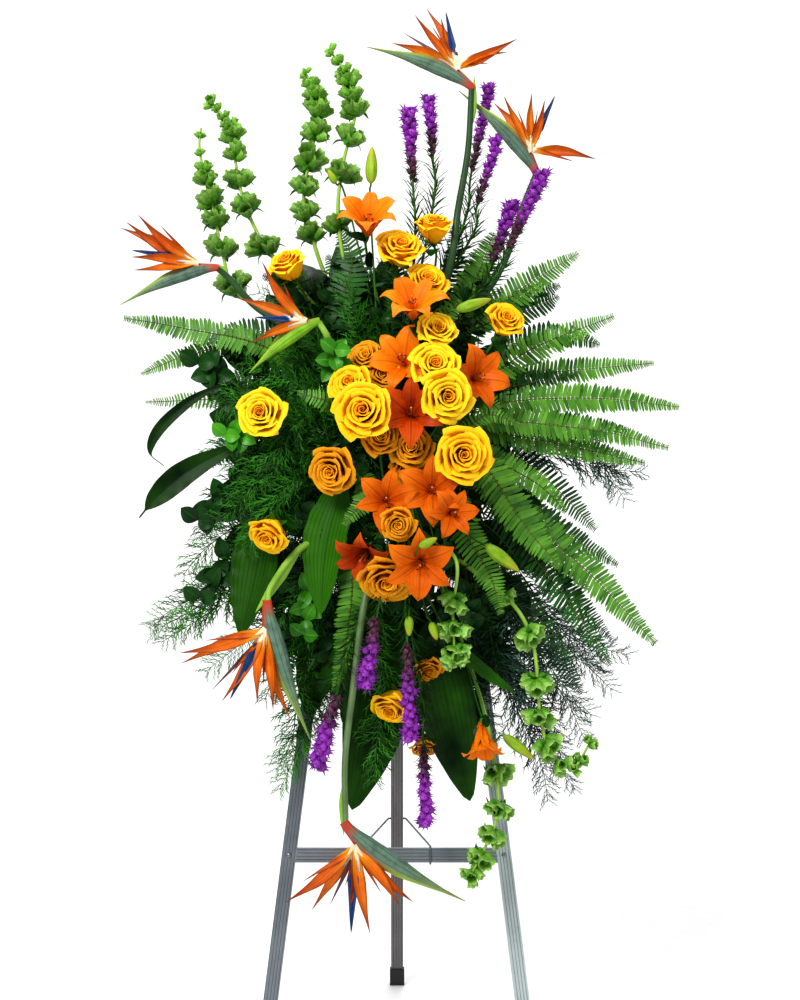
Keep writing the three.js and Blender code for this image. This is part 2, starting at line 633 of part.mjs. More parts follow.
function lily({ at: pixel, depth, radius, faces, point, closed = 0 }, grow) {
  const axis = vector(faces).normalize();
  const centre = seen(pixel, depth);
  const size = pixels(radius, depth) + 2 * grow;
  const first = between(centre, seen(point, depth)).projectOnPlane(axis).normalize();
  const bowl = (out) => 0.1 - 0.36 * (1 - out) ** 2.2 - 0.4 * Math.max(0, out - 0.8);
  const columns = 6 * PETAL_OUTLINE.length;
  const surface = (u, v, at) => {
    const column = Math.round(u * columns) % columns;
    const [turn, reach] = PETAL_OUTLINE[column % PETAL_OUTLINE.length];
    const degrees = 60 * Math.floor(column / PETAL_OUTLINE.length) + turn;
    const row = Math.round(v * (LILY_ROWS.length - 1));
    const under = row === LILY_ROWS.length - 1;
    const out = LILY_ROWS[row] * reach;
    const height = under ? LILY_BASE : bowl(out);
    at.copy(first)
      .applyAxisAngle(axis, THREE.MathUtils.degToRad(degrees))
      .multiplyScalar(size * out * (1 - closed))
      .addScaledVector(axis, size * (height + closed * out) + (under ? -3 * grow : grow))
      .add(centre);
  };
  return solid(new ParametricGeometry(surface, columns, LILY_ROWS.length - 1));
}

// The birds of paradise, in pixels: the stem out of the foam, the neck, throat and beak of the
// sheath, and the tips of the flames and of the tongue

const BIRDS = {
  one: {
    hub: "birdsTop", stem: [[449, 270], [458, 210], [468, 150]], depth: 10,
    neck: [473, 89], throat: [455, 65], beak: [367, 47], tongue: [446, 12],
    flames: [[415, 15], [427, 9], [441, 18], [517, 39], [507, 52], [392, 43]],
  },
  two: {
    hub: "birdsTop", stem: [[480, 300], [505, 260], [520, 215]], depth: 40,
    neck: [537, 175], throat: [530, 147], beak: [459, 91], tongue: [555, 96],
    flames: [[504, 96], [494, 103], [532, 93], [545, 100], [596, 159]],
  },
  three: {
    hub: "birdsLeft", stem: [[290, 330], [255, 306], [231, 280]], depth: 0,
    neck: [219, 268], throat: [194, 262], beak: [120, 305], tongue: [132, 250],
    flames: [[138, 215], [121, 228], [126, 222], [131, 257], [134, 270]],
  },
  four: {
    hub: "birdsLeft", stem: [[330, 345]], depth: -60,
    neck: [320, 321], throat: [301, 321], beak: [249, 373], tongue: [255, 317],
    flames: [[262, 262], [237, 298], [262, 335], [252, 343]],
  },
  five: {
    hub: "birdsLow", stem: [[345, 530], [301, 548], [272, 585]], depth: -60,
    neck: [267, 600], throat: [265, 634], beak: [310, 739], tongue: [230, 699],
    flames: [[180, 653], [182, 663], [222, 701], [257, 703], [273, 710], [290, 719]],
  },
  six: {
    hub: "birdsLow", stem: [[365, 600], [353, 690], [345, 761]], depth: -40,
    neck: [344, 822], throat: [356, 850], beak: [465, 901], tongue: [351, 933],
    flames: [[286, 902], [312, 910], [349, 911], [370, 933], [400, 906], [413, 902]],
  },
};

// The green sheath of a bird of paradise on its stem
function birdSheath({ hub: place, neck, beak, throat, depth, stem }, grow) {
  const [from, to] = [seen(neck, depth), seen(beak, depth - 12)];
  const along = between(from, to);
  const bulge = between(from, seen(throat, depth)).projectOnPlane(along.clone().normalize());
  const heel = from.clone().addScaledVector(bulge, 0.35);
  const points = stem.map((pixel, i) => seen(pixel, depth + (stem.length - i) * 6));
  const curve = curveOf([HUBS[place].start, ...points, heel.clone().lerp(to, 0.12)]);
  const radii = [0.075, 0.09, 0.07, 0.045, 0.025].map((part) => part * along.length());
  const sheath = spindle(heel, to, radii, { slices: 6, flat: 0.7, grow });
  return joined([tube(curve, 4.6 + grow, points.length + 3, 4), sheath]);
}

// The flames and the tongue, fanned out from the throat
const FAN = [-42, 16, -14, -30, -24, -8];
function birdFlames({ neck, throat, depth, flames, tongue }, grow) {
  const root = seen(throat, depth - 8);
  const inward = between(root, seen(neck, depth)).setLength(8);
  const blades = [...flames, tongue].map((pixel, i) => {
    const tip = seen(pixel, depth + FAN[i % FAN.length]);
    const way = between(root, tip);
    const arch = crossed(way, FORWARD).multiplyScalar(i % 2 ? 0.03 : -0.03);
    const middle = root.clone().addScaledVector(way, 0.5).add(arch);
    const spine = curveOf([root, middle, tip]);
    const wide = (pixel === tongue ? 0.05 : 0.085) * way.length();
    const halfWidth = (t) => wide * Math.sin(Math.PI * t ** 0.8) + 0.4;
    return blade(spine, halfWidth, FORWARD, { thick: 3.2, steps: 2, grow });
  });
  const knot = spindle(root.clone().add(inward), root.clone().addScaledVector(inward, -1.3), [8], { grow });
  return joined([knot, ...blades]);
}

function birdGreens(place, grow) {
  const birds = Object.values(BIRDS).filter((bird) => bird.hub === place);
  return joined([peg(HUBS[place], grow), ...birds.map((bird) => birdSheath(bird, grow))]);
}

// The blazing stars, in pixels: where the stem comes from, the base and tip of the spike, its width

const STARS = {
  starsTop: [
    { stem: [415, 240], base: [413, 185], tip: [409, 110], wide: 17, depth: 40 },
    { stem: [433, 205], base: [433, 160], tip: [429, 97], wide: 15, depth: 70 },
    { stem: [462, 229], base: [471, 175], tip: [490, 85], wide: 14, depth: 75 },
    { stem: [470, 240], base: [477, 206], tip: [498, 137], wide: 12, depth: 50 },
    { stem: [492, 280], base: [507, 252], tip: [543, 173], wide: 15, depth: 5 },
    { stem: [478, 295], base: [491, 265], tip: [513, 202], wide: 15, depth: 60 },
  ],
  starsLow: [
    { stem: [386, 560], base: [377, 614], tip: [365, 685], wide: 19, depth: -50 },
    { stem: [352, 640], base: [337, 692], tip: [317, 765], wide: 20, depth: -25 },
    { stem: [405, 600], base: [407, 637], tip: [410, 738], wide: 18, depth: -45 },
    { stem: [421, 690], base: [423, 740], tip: [426, 825], wide: 17, depth: -5 },
  ],
};

// A stem that ends in a spike of florets, which rise and fall by turns round and along it
function blazingStar(curve, half, grow) {
  const stalk = [0, 0.25, 0.62];
  const florets = 7;
  const spike = Array.from({ length: florets }, (_, i) => lerp(2 / 3, 1, i / (florets - 1)));
  return skinned(curve, [...stalk, ...spike], 6, (row, column) => {
    if (row < stalk.length) return 2.6 + grow;
    const part = (row - stalk.length) / (florets - 1);
    const taper = Math.min(1, 0.7 + 2 * part, 0.3 + 2.4 * (1 - part));
    return half * taper * ((row + column) % 2 ? 0.72 : 1.12) + grow;
  });
}

function blazingStars(place, grow) {
  const made = STARS[place].map(({ tip, base, stem, wide, depth }) => {
    const points = [stem, base, tip].map((pixel, i) => seen(pixel, depth + 8 - 8 * i));
    return blazingStar(curveOf([HUBS[place].start, ...points]), pixels(wide / 2, depth), grow);
  });
  return joined([peg(HUBS[place], grow), ...made]);
}

// The bells of Ireland, in pixels: the stem from the foam to its tip, and the whorls of bells on it,
// each with its radius

const BELLS = {
  bellsTop: [
    {
      path: [[290, 320], [237, 293], [222, 250], [212, 204], [200, 153], [201, 128]],
      depth: [60, 70],
      whorls: [[200, 158, 9], [203, 176, 11], [208, 198, 12], [215, 218, 13], [221, 249, 14], [232, 286, 15]],
    },
    {
      path: [[310, 300], [265, 245], [245, 204], [236, 165], [231, 128], [208, 98]],
      depth: [50, 40],
      whorls: [
        [213, 101, 8], [228, 117, 11], [234, 136, 12], [236, 155, 12],
        [239, 177, 13], [245, 205, 14], [265, 244, 15],
      ],
    },
    {
      path: [[325, 275], [309, 224], [304, 191], [314, 140], [316, 97], [303, 68]],
      depth: [85, 70],
      whorls: [
        [310, 80, 9], [317, 105, 14], [316, 131, 15], [307, 159, 15],
        [305, 186, 15], [310, 217, 14], [313, 236, 12],
      ],
    },
    {
      path: [[346, 270], [338, 210], [344, 160], [355, 112], [345, 72], [329, 50]],
      depth: [55, 40],
      whorls: [
        [335, 56, 8], [344, 70, 11], [352, 89, 13], [356, 107, 14],
        [349, 135, 14], [340, 173, 14], [339, 228, 11],
      ],
    },
  ],
  bellsLow: [
    {
      path: [[456, 560], [453, 611], [455, 662]],
      depth: [-40, -50],
      whorls: [[455, 604, 15], [450, 634, 15], [455, 657, 17]],
    },
    {
      path: [[507, 598], [533, 645], [540, 713], [550, 750], [572, 768], [592, 740]],
      depth: [20, -10],
      whorls: [
        [514, 591, 9], [529, 635, 14], [536, 680, 15], [544, 718, 15],
        [546, 747, 15], [573, 765, 16], [590, 742, 12],
      ],
    },
    {
      path: [[478, 690], [493, 760], [498, 811], [484, 850], [468, 880]],
      depth: [10, -30],
      whorls: [[493, 775, 16], [498, 811, 16], [488, 839, 15], [472, 868, 16]],
    },
  ],
};

// The parameter at which a curve passes nearest to a pixel
function nearest(curve, pixel) {
  const off = (t) => curve.getPoint(t).distanceTo(seen(pixel, curve.getPoint(t).y));
  const steps = Array.from({ length: 161 }, (_, i) => i / 160);
  return steps.reduce((best, next) => (off(next) < off(best) ? next : best));
}

// A stem that widens at each whorl into a lobed cup and narrows again within it
const CUP = [
  { along: -0.5, out: 0 },
  { along: 0.3, out: 1 },
  { along: 0, out: 0 },
];

const FILLED_CUP = [...CUP.slice(0, -1), { along: 0.4, out: 0 }];

function bellStem(curve, whorls, grow) {
  const stem = 2.6 + grow;
  const rings = [{ t: 0, out: stem }, { t: 0.07, out: stem }];
  for (const [pixelX, pixelY, radius] of whorls) {
    const middle = nearest(curve, [pixelX, pixelY]);
    const t = Math.min(middle, 0.98);
    const speed = curve.getPoint(t + 0.01).distanceTo(curve.getPoint(t - 0.01)) / 0.02;
    const size = pixels(radius, curve.getPoint(t).y);
    for (const { along, out } of grow ? FILLED_CUP : CUP) {
      rings.push({ t: t + (along * size) / speed, out: out ? out * size + grow : stem, lobed: out > 0 });
    }
  }
  rings.push({ t: 1, out: stem * 0.7 });
  const stations = rings.map(({ t }) => Math.min(t, 1));
  return skinned(curve, stations, 5, (row, column) => {
    const { out, lobed } = rings[row];
    return out * (lobed && column % 2 ? 0.72 : 1.05);
  });
}

function bells(place, grow) {
  const made = BELLS[place].map(({ path, depth, whorls }) => {
    const curve = curveOf([HUBS[place].start, ...traced(path, depth)]);
    const order = [...whorls].sort((a, b) => nearest(curve, a.slice(0, 2)) - nearest(curve, b.slice(0, 2)));
    return bellStem(curve, order, grow);
  });
  return joined([peg(HUBS[place], grow), ...made]);
}

// The sword fern fronds, in pixels: the rib from its first leaflets to its tip, and half its width

const FERNS = {
  fernsUpper: [
    { rib: [[452, 312], [493, 232]], half: 17, depth: [70, 90] },
    { rib: [[460, 343], [520, 290], [579, 253]], half: 18, depth: [60, 70] },
    { rib: [[505, 326], [559, 296]], half: 14, depth: [95, 105] },
    { rib: [[470, 392], [530, 350], [614, 316]], half: 20, depth: [50, 60] },
    { rib: [[500, 378], [654, 363]], half: 14, depth: [85, 90] },
    { rib: [[361, 300], [326, 255]], half: 13, depth: [80, 90] },
  ],
  fernsLower: [
    { rib: [[484, 396], [580, 373]], half: 13, depth: [75, 80] },
    { rib: [[496, 405], [590, 398], [680, 407]], half: 16, depth: [50, 40] },
    { rib: [[476, 420], [593, 430], [669, 448]], half: 15, depth: [30, 20] },
    { rib: [[478, 430], [560, 444], [645, 463]], half: 13, depth: [70, 60] },
    { rib: [[478, 452], [536, 483], [566, 512]], half: 15, depth: [20, 10] },
    { rib: [[486, 466], [526, 527], [560, 567]], half: 20, depth: [0, -20] },
    { rib: [[488, 477], [560, 530], [618, 565]], half: 15, depth: [75, 80] },
    { rib: [[494, 492], [585, 569], [656, 644]], half: 20, depth: [40, 30] },
    { rib: [[486, 500], [560, 590], [611, 666]], half: 18, depth: [60, 60] },
    { rib: [[462, 520], [490, 575], [501, 614]], half: 17, depth: [-10, -25] },
    { rib: [[500, 560], [555, 650], [582, 694]], half: 17, depth: [85, 85] },
    { rib: [[474, 580], [500, 650], [511, 700]], half: 17, depth: [65, 60] },
  ],
  fernsLeft: [
    { rib: [[275, 352], [182, 328], [124, 318]], half: 15, depth: [50, 40] },
    { rib: [[255, 350], [190, 355], [141, 374]], half: 13, depth: [80, 80] },
    { rib: [[240, 402], [145, 402]], half: 9, depth: [95, 95] },
    { rib: [[352, 560], [346, 640], [334, 692]], half: 15, depth: [10, -10] },
    { rib: [[366, 487], [344, 525]], half: 13, depth: [-30, -50] },
    { rib: [[335, 406], [297, 392]], half: 12, depth: [-40, -50] },
  ],
};

function ferns(place, grow) {
  const made = FERNS[place].map(({ rib, half, depth }) => {
    const curve = curveOf([HUBS[place].start, ...traced(rib, depth)]);
    const from = 1 / rib.length;
    const leaflets = Math.max(5, Math.round(new Stretch(curve, from, 1).getLength() / 41));
    const width = (part) => pixels(half, depth[0]) * Math.sin(Math.PI * (0.2 + 0.77 * part));
    return frond(curve, from, leaflets, width, vector([0, -1, 0.25]), { grow });
  });
  return joined([peg(HUBS[place], grow), ...made]);
}

// The broad leaves, in pixels: the midrib, and half the widest part

const LEAVES = {
  leavesLeft: [
    { rib: [[231, 380], [180, 402], [152, 440], [155, 464]], half: 8, depth: [45, 20] },
    { rib: [[235, 446], [187, 470], [139, 518]], half: 14, depth: [30, 20] },
    { rib: [[262, 505], [239, 571], [240, 636]], half: 25, depth: [35, 10] },
    { rib: [[334, 495], [317, 552], [320, 616]], half: 21, depth: [10, -10] },
    { rib: [[345, 590], [322, 660], [308, 716]], half: 24, depth: [55, 45] },
  ],
  leavesLow: [
    { rib: [[378, 600], [376, 705], [352, 810]], half: 32, depth: [50, 25] },
    { rib: [[430, 620], [448, 710], [470, 801]], half: 27, depth: [35, 15] },
    { rib: [[400, 600], [411, 650], [408, 700]], half: 22, depth: [70, 70] },
    { rib: [[450, 640], [485, 672], [514, 692]], half: 6, depth: [10, 0] },
  ],
};

function broadLeaves(place, grow) {
  const made = LEAVES[place].map(({ rib, half, depth }) => {
    const spine = curveOf([HUBS[place].start, ...traced(rib, depth)]);
    const from = 1 / rib.length;
    const halfWidth = (t) => {
      const part = Math.max(0, (t - from) / (1 - from));
      return 2.2 + pixels(half, depth[0]) * Math.sin(Math.PI * part ** 0.8) ** 0.8;
    };
    return blade(spine, halfWidth, vector([0, -1, 0.2]), { thick: 2, cup: 0.16, steps: 8, grow });
  });
  return joined([peg(HUBS[place], grow), ...made]);
}

// The sprigs of small leaves, in pixels: where the stem ends, the size of a leaf, and their count

const SPRIGS = [
  { at: [335, 350], size: 19, count: 7, depth: -70 },
  { at: [225, 435], size: 16, count: 5, depth: -5 },
  { at: [198, 520], size: 15, count: 5, depth: 30 },
  { at: [200, 362], size: 14, count: 5, depth: 60 },
  { at: [200, 598], size: 15, count: 5, depth: 45 },
  { at: [303, 634], size: 16, count: 5, depth: 5 },
];

// A rosette of pointed leaves: by degrees from the middle of a leaf, its outline's reach there
const LEAF_OUTLINE = [[-0.5, 0.2], [-0.24, 0.62], [0, 1], [0.24, 0.62]];
function rosette(centre, size, count, turn, grow) {
  const columns = LEAF_OUTLINE.length * count;
  const surface = (u, v, at) => {
    const column = Math.round(u * columns) % columns;
    const leaf = Math.floor(column / LEAF_OUTLINE.length);
    const [part, reach] = LEAF_OUTLINE[column % LEAF_OUTLINE.length];
    const angle = (2 * Math.PI * (leaf + part)) / count + turn;
    const rim = v === 0.5;
    const out = rim ? size * reach + 4 * grow : 0;
    const forward = rim ? (leaf % 2 ? -0.35 : -0.1) * size * reach : (v - 0.5) * (9 + 3 * grow);
    at.copy(centre).add(vector([out * Math.cos(angle), forward, out * Math.sin(angle)]));
  };
  return solid(new ParametricGeometry(surface, columns, 2));
}

function sprigs(grow) {
  const { start } = HUBS.sprigs;
  const made = SPRIGS.flatMap(({ at, size, count, depth }, k) => {
    const end = seen(at, depth);
    const curve = curveOf([start, start.clone().lerp(end, 0.5).add(vector([0, 0, 12])), end]);
    return [tube(curve, 1.8 + grow, 3, 3), rosette(end, 1.6 * pixels(size, depth), count, k, grow)];
  });
  return joined([peg(HUBS.sprigs, grow), ...made]);
}

// The plumes of asparagus fern, in pixels: from where each parts from the rest, to its tip

const PLUMES = {
  asparagusLeft: [
    { path: [[300, 440], [262, 470], [236, 508]], depth: [20, 0] },
    { path: [[300, 470], [262, 520], [245, 552]], depth: [10, -10] },
    { path: [[300, 430], [250, 432], [205, 455]], depth: [84, 84] },
    { path: [[275, 530], [205, 588], [148, 625]], depth: [70, 60] },
    { path: [[285, 560], [220, 606], [162, 642]], depth: [85, 80] },
    { path: [[300, 590], [245, 640], [205, 672]], depth: [60, 50] },
    { path: [[320, 690], [300, 745], [280, 790]], depth: [64, 25] },
    { path: [[260, 515], [210, 545], [183, 575]], depth: [90, 90] },
    { path: [[325, 360], [290, 310], [258, 292]], depth: [95, 95] },
  ],
  asparagusRight: [
    { path: [[540, 455], [600, 468], [642, 472]], depth: [100, 100] },
    { path: [[510, 560], [565, 640], [612, 690]], depth: [100, 95] },
    { path: [[505, 600], [560, 680], [592, 716]], depth: [60, 50] },
    { path: [[500, 640], [550, 720], [562, 762]], depth: [75, 60] },
    { path: [[505, 680], [540, 760], [548, 802]], depth: [45, 35] },
    { path: [[490, 600], [555, 650], [602, 664]], depth: [110, 110] },
  ],
};

function asparagus(place, grow) {
  const made = PLUMES[place].map(({ path, depth }) => {
    const curve = curveOf([HUBS[place].start, ...traced(path, depth)]);
    const width = (part) => 12 + 24 * Math.sin(Math.PI * (0.25 + 0.7 * part));
    return frond(curve, 0.4, 3, width, FORWARD, { fill: 0.35, sweep: 0.9, grow });
  });
  return joined([peg(HUBS[place], grow), ...made]);
}

piece("bloom_stems", 0x4f8a34, bloomStems);
piece("bird_stems_top", 0x4d6b45, (grow) => birdGreens("birdsTop", grow));
piece("bird_stems_left", 0x4d6b45, (grow) => birdGreens("birdsLeft", grow));
piece("bird_stems_low", 0x4d6b45, (grow) => birdGreens("birdsLow", grow));
for (const [name, bird] of Object.entries(BIRDS)) {
  piece(`bird_flames_${name}`, 0xf0661e, (grow) => birdFlames(bird, grow));
}
piece("blazing_stars_top", 0x7a2bb0, (grow) => blazingStars("starsTop", grow));
piece("blazing_stars_low", 0x7a2bb0, (grow) => blazingStars("starsLow", grow));
piece("bells_top", 0x6fbf3f, (grow) => bells("bellsTop", grow));
piece("bells_low", 0x6fbf3f, (grow) => bells("bellsLow", grow));
for (const [name, blooms] of Object.entries(ROSES)) {
  piece(name, 0xf6b312, (grow) => joined(blooms.map((bloom) => rose(bloom, grow))));
}
for (const [name, blooms] of Object.entries(LILIES)) {
  piece(name, 0xee6a12, (grow) => joined(blooms.map((bloom) => lily(bloom, grow))));
}
piece("leaves_left", 0x1f6b2b, (grow) => broadLeaves("leavesLeft", grow));
piece("leaves_low", 0x1f6b2b, (grow) => broadLeaves("leavesLow", grow));
piece("ferns_right_upper", 0x4fa53a, (grow) => ferns("fernsUpper", grow));
piece("ferns_right_lower", 0x4fa53a, (grow) => ferns("fernsLower", grow));
piece("ferns_left", 0x3c8a30, (grow) => ferns("fernsLeft", grow));
piece("leafy_sprigs", 0x3a8f3a, sprigs);
piece("asparagus_left", 0x2f6f33, (grow) => asparagus("asparagusLeft", grow));
piece("asparagus_right", 0x2f6f33, (grow) => asparagus("asparagusRight", grow));
piece("foam", 0x3f7d4b, foam);

// A mesh of a solid, in the colour and finish of its piece
function meshOf(made, { name, colour, finish }) {
  const { vertProperties, triVerts } = made.getMesh();
  const geometry = new THREE.BufferGeometry();
  geometry.setAttribute("position", new THREE.Float32BufferAttribute(vertProperties, 3));
  geometry.setIndex(Array.from(triVerts));
  geometry.computeVertexNormals();
  const mesh = new THREE.Mesh(geometry, new THREE.MeshStandardMaterial({ color: colour, ...finish }));
  mesh.name = name;
  return mesh;
}

// Each piece gives way to those before it where they meet
const meet = (a, b) => [0, 1, 2].every((i) => a.min[i] < b.max[i] + 1 && b.min[i] < a.max[i] + 1);
const group = new THREE.Group();
const before = [];
for (const part of pieces) {
  let made = part.build(0);
  const bounds = made.boundingBox();
  for (const earlier of before) {
    if (meet(bounds, earlier.bounds)) made = made.subtract(earlier.grown);
  }
  before.push({ grown: part.build(GAP), bounds });
  group.add(meshOf(largest(settled(largest(made), GRID_STEPS)), part));
}

// The origin is the middle of the whole on the floor
const middle = new THREE.Box3().setFromObject(group).getCenter(new THREE.Vector3());
group.position.set(-middle.x, -middle.y, 0);
group.updateMatrixWorld(true);

export default group;
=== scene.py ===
"""A standing funeral spray: roses, lilies, birds of paradise, blazing stars and bells of Ireland
over ferns and other greens, in wet foam on a folding aluminium easel.

Metres, +Z up, +X to the right, the flowers face -Y. Places marked as pixels are those of the
front view, 800 wide and 1000 tall, with a depth in millimetres behind the front feet."""
import math

import bpy
import numpy as np
from mathutils import Matrix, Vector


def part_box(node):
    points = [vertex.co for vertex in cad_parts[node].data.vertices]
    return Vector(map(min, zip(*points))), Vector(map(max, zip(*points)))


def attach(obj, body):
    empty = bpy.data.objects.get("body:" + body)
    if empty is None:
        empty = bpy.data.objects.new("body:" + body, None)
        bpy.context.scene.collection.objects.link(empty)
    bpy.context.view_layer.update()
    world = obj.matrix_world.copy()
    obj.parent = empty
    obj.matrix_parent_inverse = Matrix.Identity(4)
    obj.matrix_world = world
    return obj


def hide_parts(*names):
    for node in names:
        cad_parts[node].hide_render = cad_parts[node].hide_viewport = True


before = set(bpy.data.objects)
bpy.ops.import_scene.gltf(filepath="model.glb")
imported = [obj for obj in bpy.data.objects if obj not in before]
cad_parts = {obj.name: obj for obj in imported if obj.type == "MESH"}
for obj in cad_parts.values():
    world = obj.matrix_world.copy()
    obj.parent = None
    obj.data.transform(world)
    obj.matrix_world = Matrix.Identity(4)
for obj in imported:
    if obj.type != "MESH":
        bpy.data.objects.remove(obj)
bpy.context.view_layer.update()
rng = np.random.default_rng(7)

# Where the front view's pixels lie

PIXEL = 0.00165
EYE = np.array((0.0058, -2.3, 0.977))
LEAN = math.radians(8)
left_foot, right_foot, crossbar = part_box("foot_left"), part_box("foot_right"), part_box("crossbar")
SHIFT = np.array(((left_foot[0].x + right_foot[1].x) / 2, crossbar[0].y - 0.369 * math.sin(LEAN), 0))
UP = np.array((0.0, 0.0, 1.0))
FORWARD = np.array((0.0, -1.0, 0.0))
VIEW_TALL = 1000            # pixels from the top to the bottom of the front view

# The easel's frame, in millimetres along it and behind it

LEAN_IN = 0.12              # how far a leg goes inwards for each millimetre up
LEG_OUT = 227               # half the distance between the feet
CROSSBAR_AT, CROSSBAR_HALF = 381, 14.2  # its middle along the frame, and half its height
PIN_AT, PIN_BEHIND, PIN_HALF = 1331, 33, 18.8   # along, behind, and half its length
BRACKET_RIVETS, BRACKET_BACK = (1309, 1337), 17.2
REAR_FOOT = np.array((0, 0.515, 0))     # metres

# Angles

ANY_ANGLE = 6.28            # random angles lie between 0 and this
FULL_WAVE = 6.283           # one wave in the nodes
GOLDEN_TURN = 2.4           # from one leaf of a spiral to the next
FIFTH_TURN = 1.257


def scale_at(depth):
    return PIXEL * (depth / 1000 - EYE[1]) / -EYE[1]


def seen(pixel, depth):
    """The point seen at a pixel, at a depth."""
    size = scale_at(depth)
    point = (EYE[0] + (pixel[0] - 400) * size, depth / 1000, EYE[2] + (500 - pixel[1]) * size)
    return np.array(point) + SHIFT


def on_frame(sideways, behind, along):
    """A point on the leaning front frame, from millimetres."""
    y = behind * math.cos(LEAN) + along * math.sin(LEAN)
    z = along * math.cos(LEAN) - behind * math.sin(LEAN)
    return np.array((sideways, y, z)) / 1000 + SHIFT


def unit(way):
    way = np.asarray(way, float)
    return way / (np.linalg.norm(way) + 1e-12)


def unit_rows(rows):
    return rows / (np.linalg.norm(rows, axis=-1, keepdims=True) + 1e-12)


def square_to(axis, first=UP):
    """Three directions: the first as near to a wish as is square to the axis, the last the axis."""
    axis = unit(axis)
    side = np.asarray(first, float) - axis * np.dot(first, axis)
    if np.linalg.norm(side) < 1e-5:
        side = np.array((1.0, 0.0, 0.0)) - axis * axis[0]
    side = unit(side)
    return np.array((side, np.cross(axis, side), axis))


def smooth(points, count):
    """Evenly numbered points of a curve through some points."""
    points = np.array(points, float)
    ends = np.vstack((2 * points[0] - points[1], points, 2 * points[-1] - points[-2]))
    place = np.linspace(0, len(points) - 1, count)
    first = np.minimum(place.astype(int), len(points) - 2)
    part = (place - first)[:, None]
    a, b, c, d = (ends[first + k] for k in range(4))
    bend = (2 * a - 5 * b + 4 * c - d) + part * (3 * (b - c) + d - a)
    return b + 0.5 * part * ((c - a) + part * bend)


def ways_along(path):
    return unit_rows(np.gradient(path, axis=0))


def spaced(path, step):
    """Points of a path at even distances, and their share of its length."""
    lengths = np.concatenate(([0], np.cumsum(np.linalg.norm(np.diff(path, axis=0), axis=1))))
    count = max(2, int(lengths[-1] / step))
    at = (np.arange(count) + 0.5) / count * lengths[-1]
    return np.stack([np.interp(at, lengths, path[:, k]) for k in range(3)], axis=1), at / lengths[-1]


# Surfaces


class Growth:
    """Closed surfaces gathered for one mesh. Each corner keeps its place across and along its
    petal or leaf, a tone that varies from one to the next, and an age from young to old."""

    def __init__(self):
        self.points, self.places, self.tones, self.ages = [], [], [], []
        self.quads, self.triangles = [], []
        self.count = 0

    def add(self, points, quads, triangles, places, tone=0.5, age=0.5, material=0):
        quads = np.asarray(quads, int).reshape(-1, 4)
        triangles = np.asarray(triangles, int).reshape(-1, 3)
        middle = points - points.mean(axis=0)
        halves = np.vstack((quads[:, :3], quads[:, (0, 2, 3)], triangles))
        a, b, c = (middle[halves[:, k]] for k in range(3))
        if np.einsum("ij,ij->", a, np.cross(b, c)) < 0:
            quads, triangles = quads[:, ::-1], triangles[:, ::-1]
        self.points.append(points)
        self.places.append(places)
        self.tones.append(np.broadcast_to(np.asarray(tone, float), len(points)))
        self.ages.append(np.broadcast_to(np.asarray(age, float), len(points)))
        self.quads.append(np.column_stack((quads + self.count, np.full(len(quads), material))))
        self.triangles.append(np.column_stack((triangles + self.count, np.full(len(triangles), material))))
        self.count += len(points)

    def take(self, mesh, material=0):
        """Adds a mesh whose faces all have three or four corners."""
        total = len(mesh.vertices)
        points = np.empty(total * 3)
        mesh.vertices.foreach_get("co", points)
        corners = np.empty(len(mesh.loops), int)
        mesh.loops.foreach_get("vertex_index", corners)
        starts, sizes = np.empty(len(mesh.polygons), int), np.empty(len(mesh.polygons), int)
        mesh.polygons.foreach_get("loop_start", starts)
        mesh.polygons.foreach_get("loop_total", sizes)
        places = np.zeros((total, 2))
        if "place" in mesh.attributes:
            flat = np.empty(len(mesh.loops) * 2)
            mesh.attributes["place"].data.foreach_get("vector", flat)
            places[corners] = flat.reshape(-1, 2)
        self.points.append(points.reshape(-1, 3))
        self.places.append(places)
        for name, store in (("tone", self.tones), ("age", self.ages)):
            values = np.full(total, 0.5)
            if name in mesh.attributes:
                mesh.attributes[name].data.foreach_get("value", values)
            store.append(values)
        for size, store in ((4, self.quads), (3, self.triangles)):
            first = starts[sizes == size]
            faces = corners[first[:, None] + np.arange(size)] + self.count
            store.append(np.column_stack((faces, np.full(len(faces), material))))
        self.count += total

    def mesh(self, name, materials=(), stored=True):
        quads = np.vstack(self.quads) if self.quads else np.empty((0, 5), int)
        triangles = np.vstack(self.triangles) if self.triangles else np.empty((0, 4), int)
        made = bpy.data.meshes.new(name)
        points = np.vstack(self.points).astype(np.float32)
        corners = np.concatenate((quads[:, :4].ravel(), triangles[:, :3].ravel()))
        sizes = np.concatenate((np.full(len(quads), 4), np.full(len(triangles), 3)))
        made.vertices.add(len(points))
        made.vertices.foreach_set("co", points.ravel())
        made.loops.add(len(corners))
        made.loops.foreach_set("vertex_index", corners.astype(np.int32))
        made.polygons.add(len(sizes))
        made.polygons.foreach_set("loop_start", (np.cumsum(sizes) - sizes).astype(np.int32))
        slots = np.concatenate((quads[:, 4], triangles[:, 3])).astype(np.int32)
        for look in materials:
            made.materials.append(look)
        made.polygons.foreach_set("material_index", slots)
        made.update(calc_edges=True)
        uv = made.uv_layers.new(name="place")
        uv.uv.foreach_set("vector", np.vstack(self.places)[corners].astype(np.float32).ravel())
        if stored:
            for label, values in (("tone", self.tones), ("age", self.ages)):
                layer = made.attributes.new(label, "FLOAT", "POINT")
                layer.data.foreach_set("value", np.concatenate(values).astype(np.float32))
        made.shade_smooth()
        made.set_sharp_from_angle(angle=math.radians(55))
        made.validate()
        return made


def grid_faces(rows, columns, wrapped):
    across = np.arange(columns if wrapped else columns - 1)
    row, column = np.meshgrid(np.arange(rows - 1), across, indexing="ij")
    after = (column + 1) % columns
    this, following = row * columns, (row + 1) * columns
    corners = (this + column, this + after, following + after, following + column)
    return np.stack(corners, -1).reshape(-1, 4)


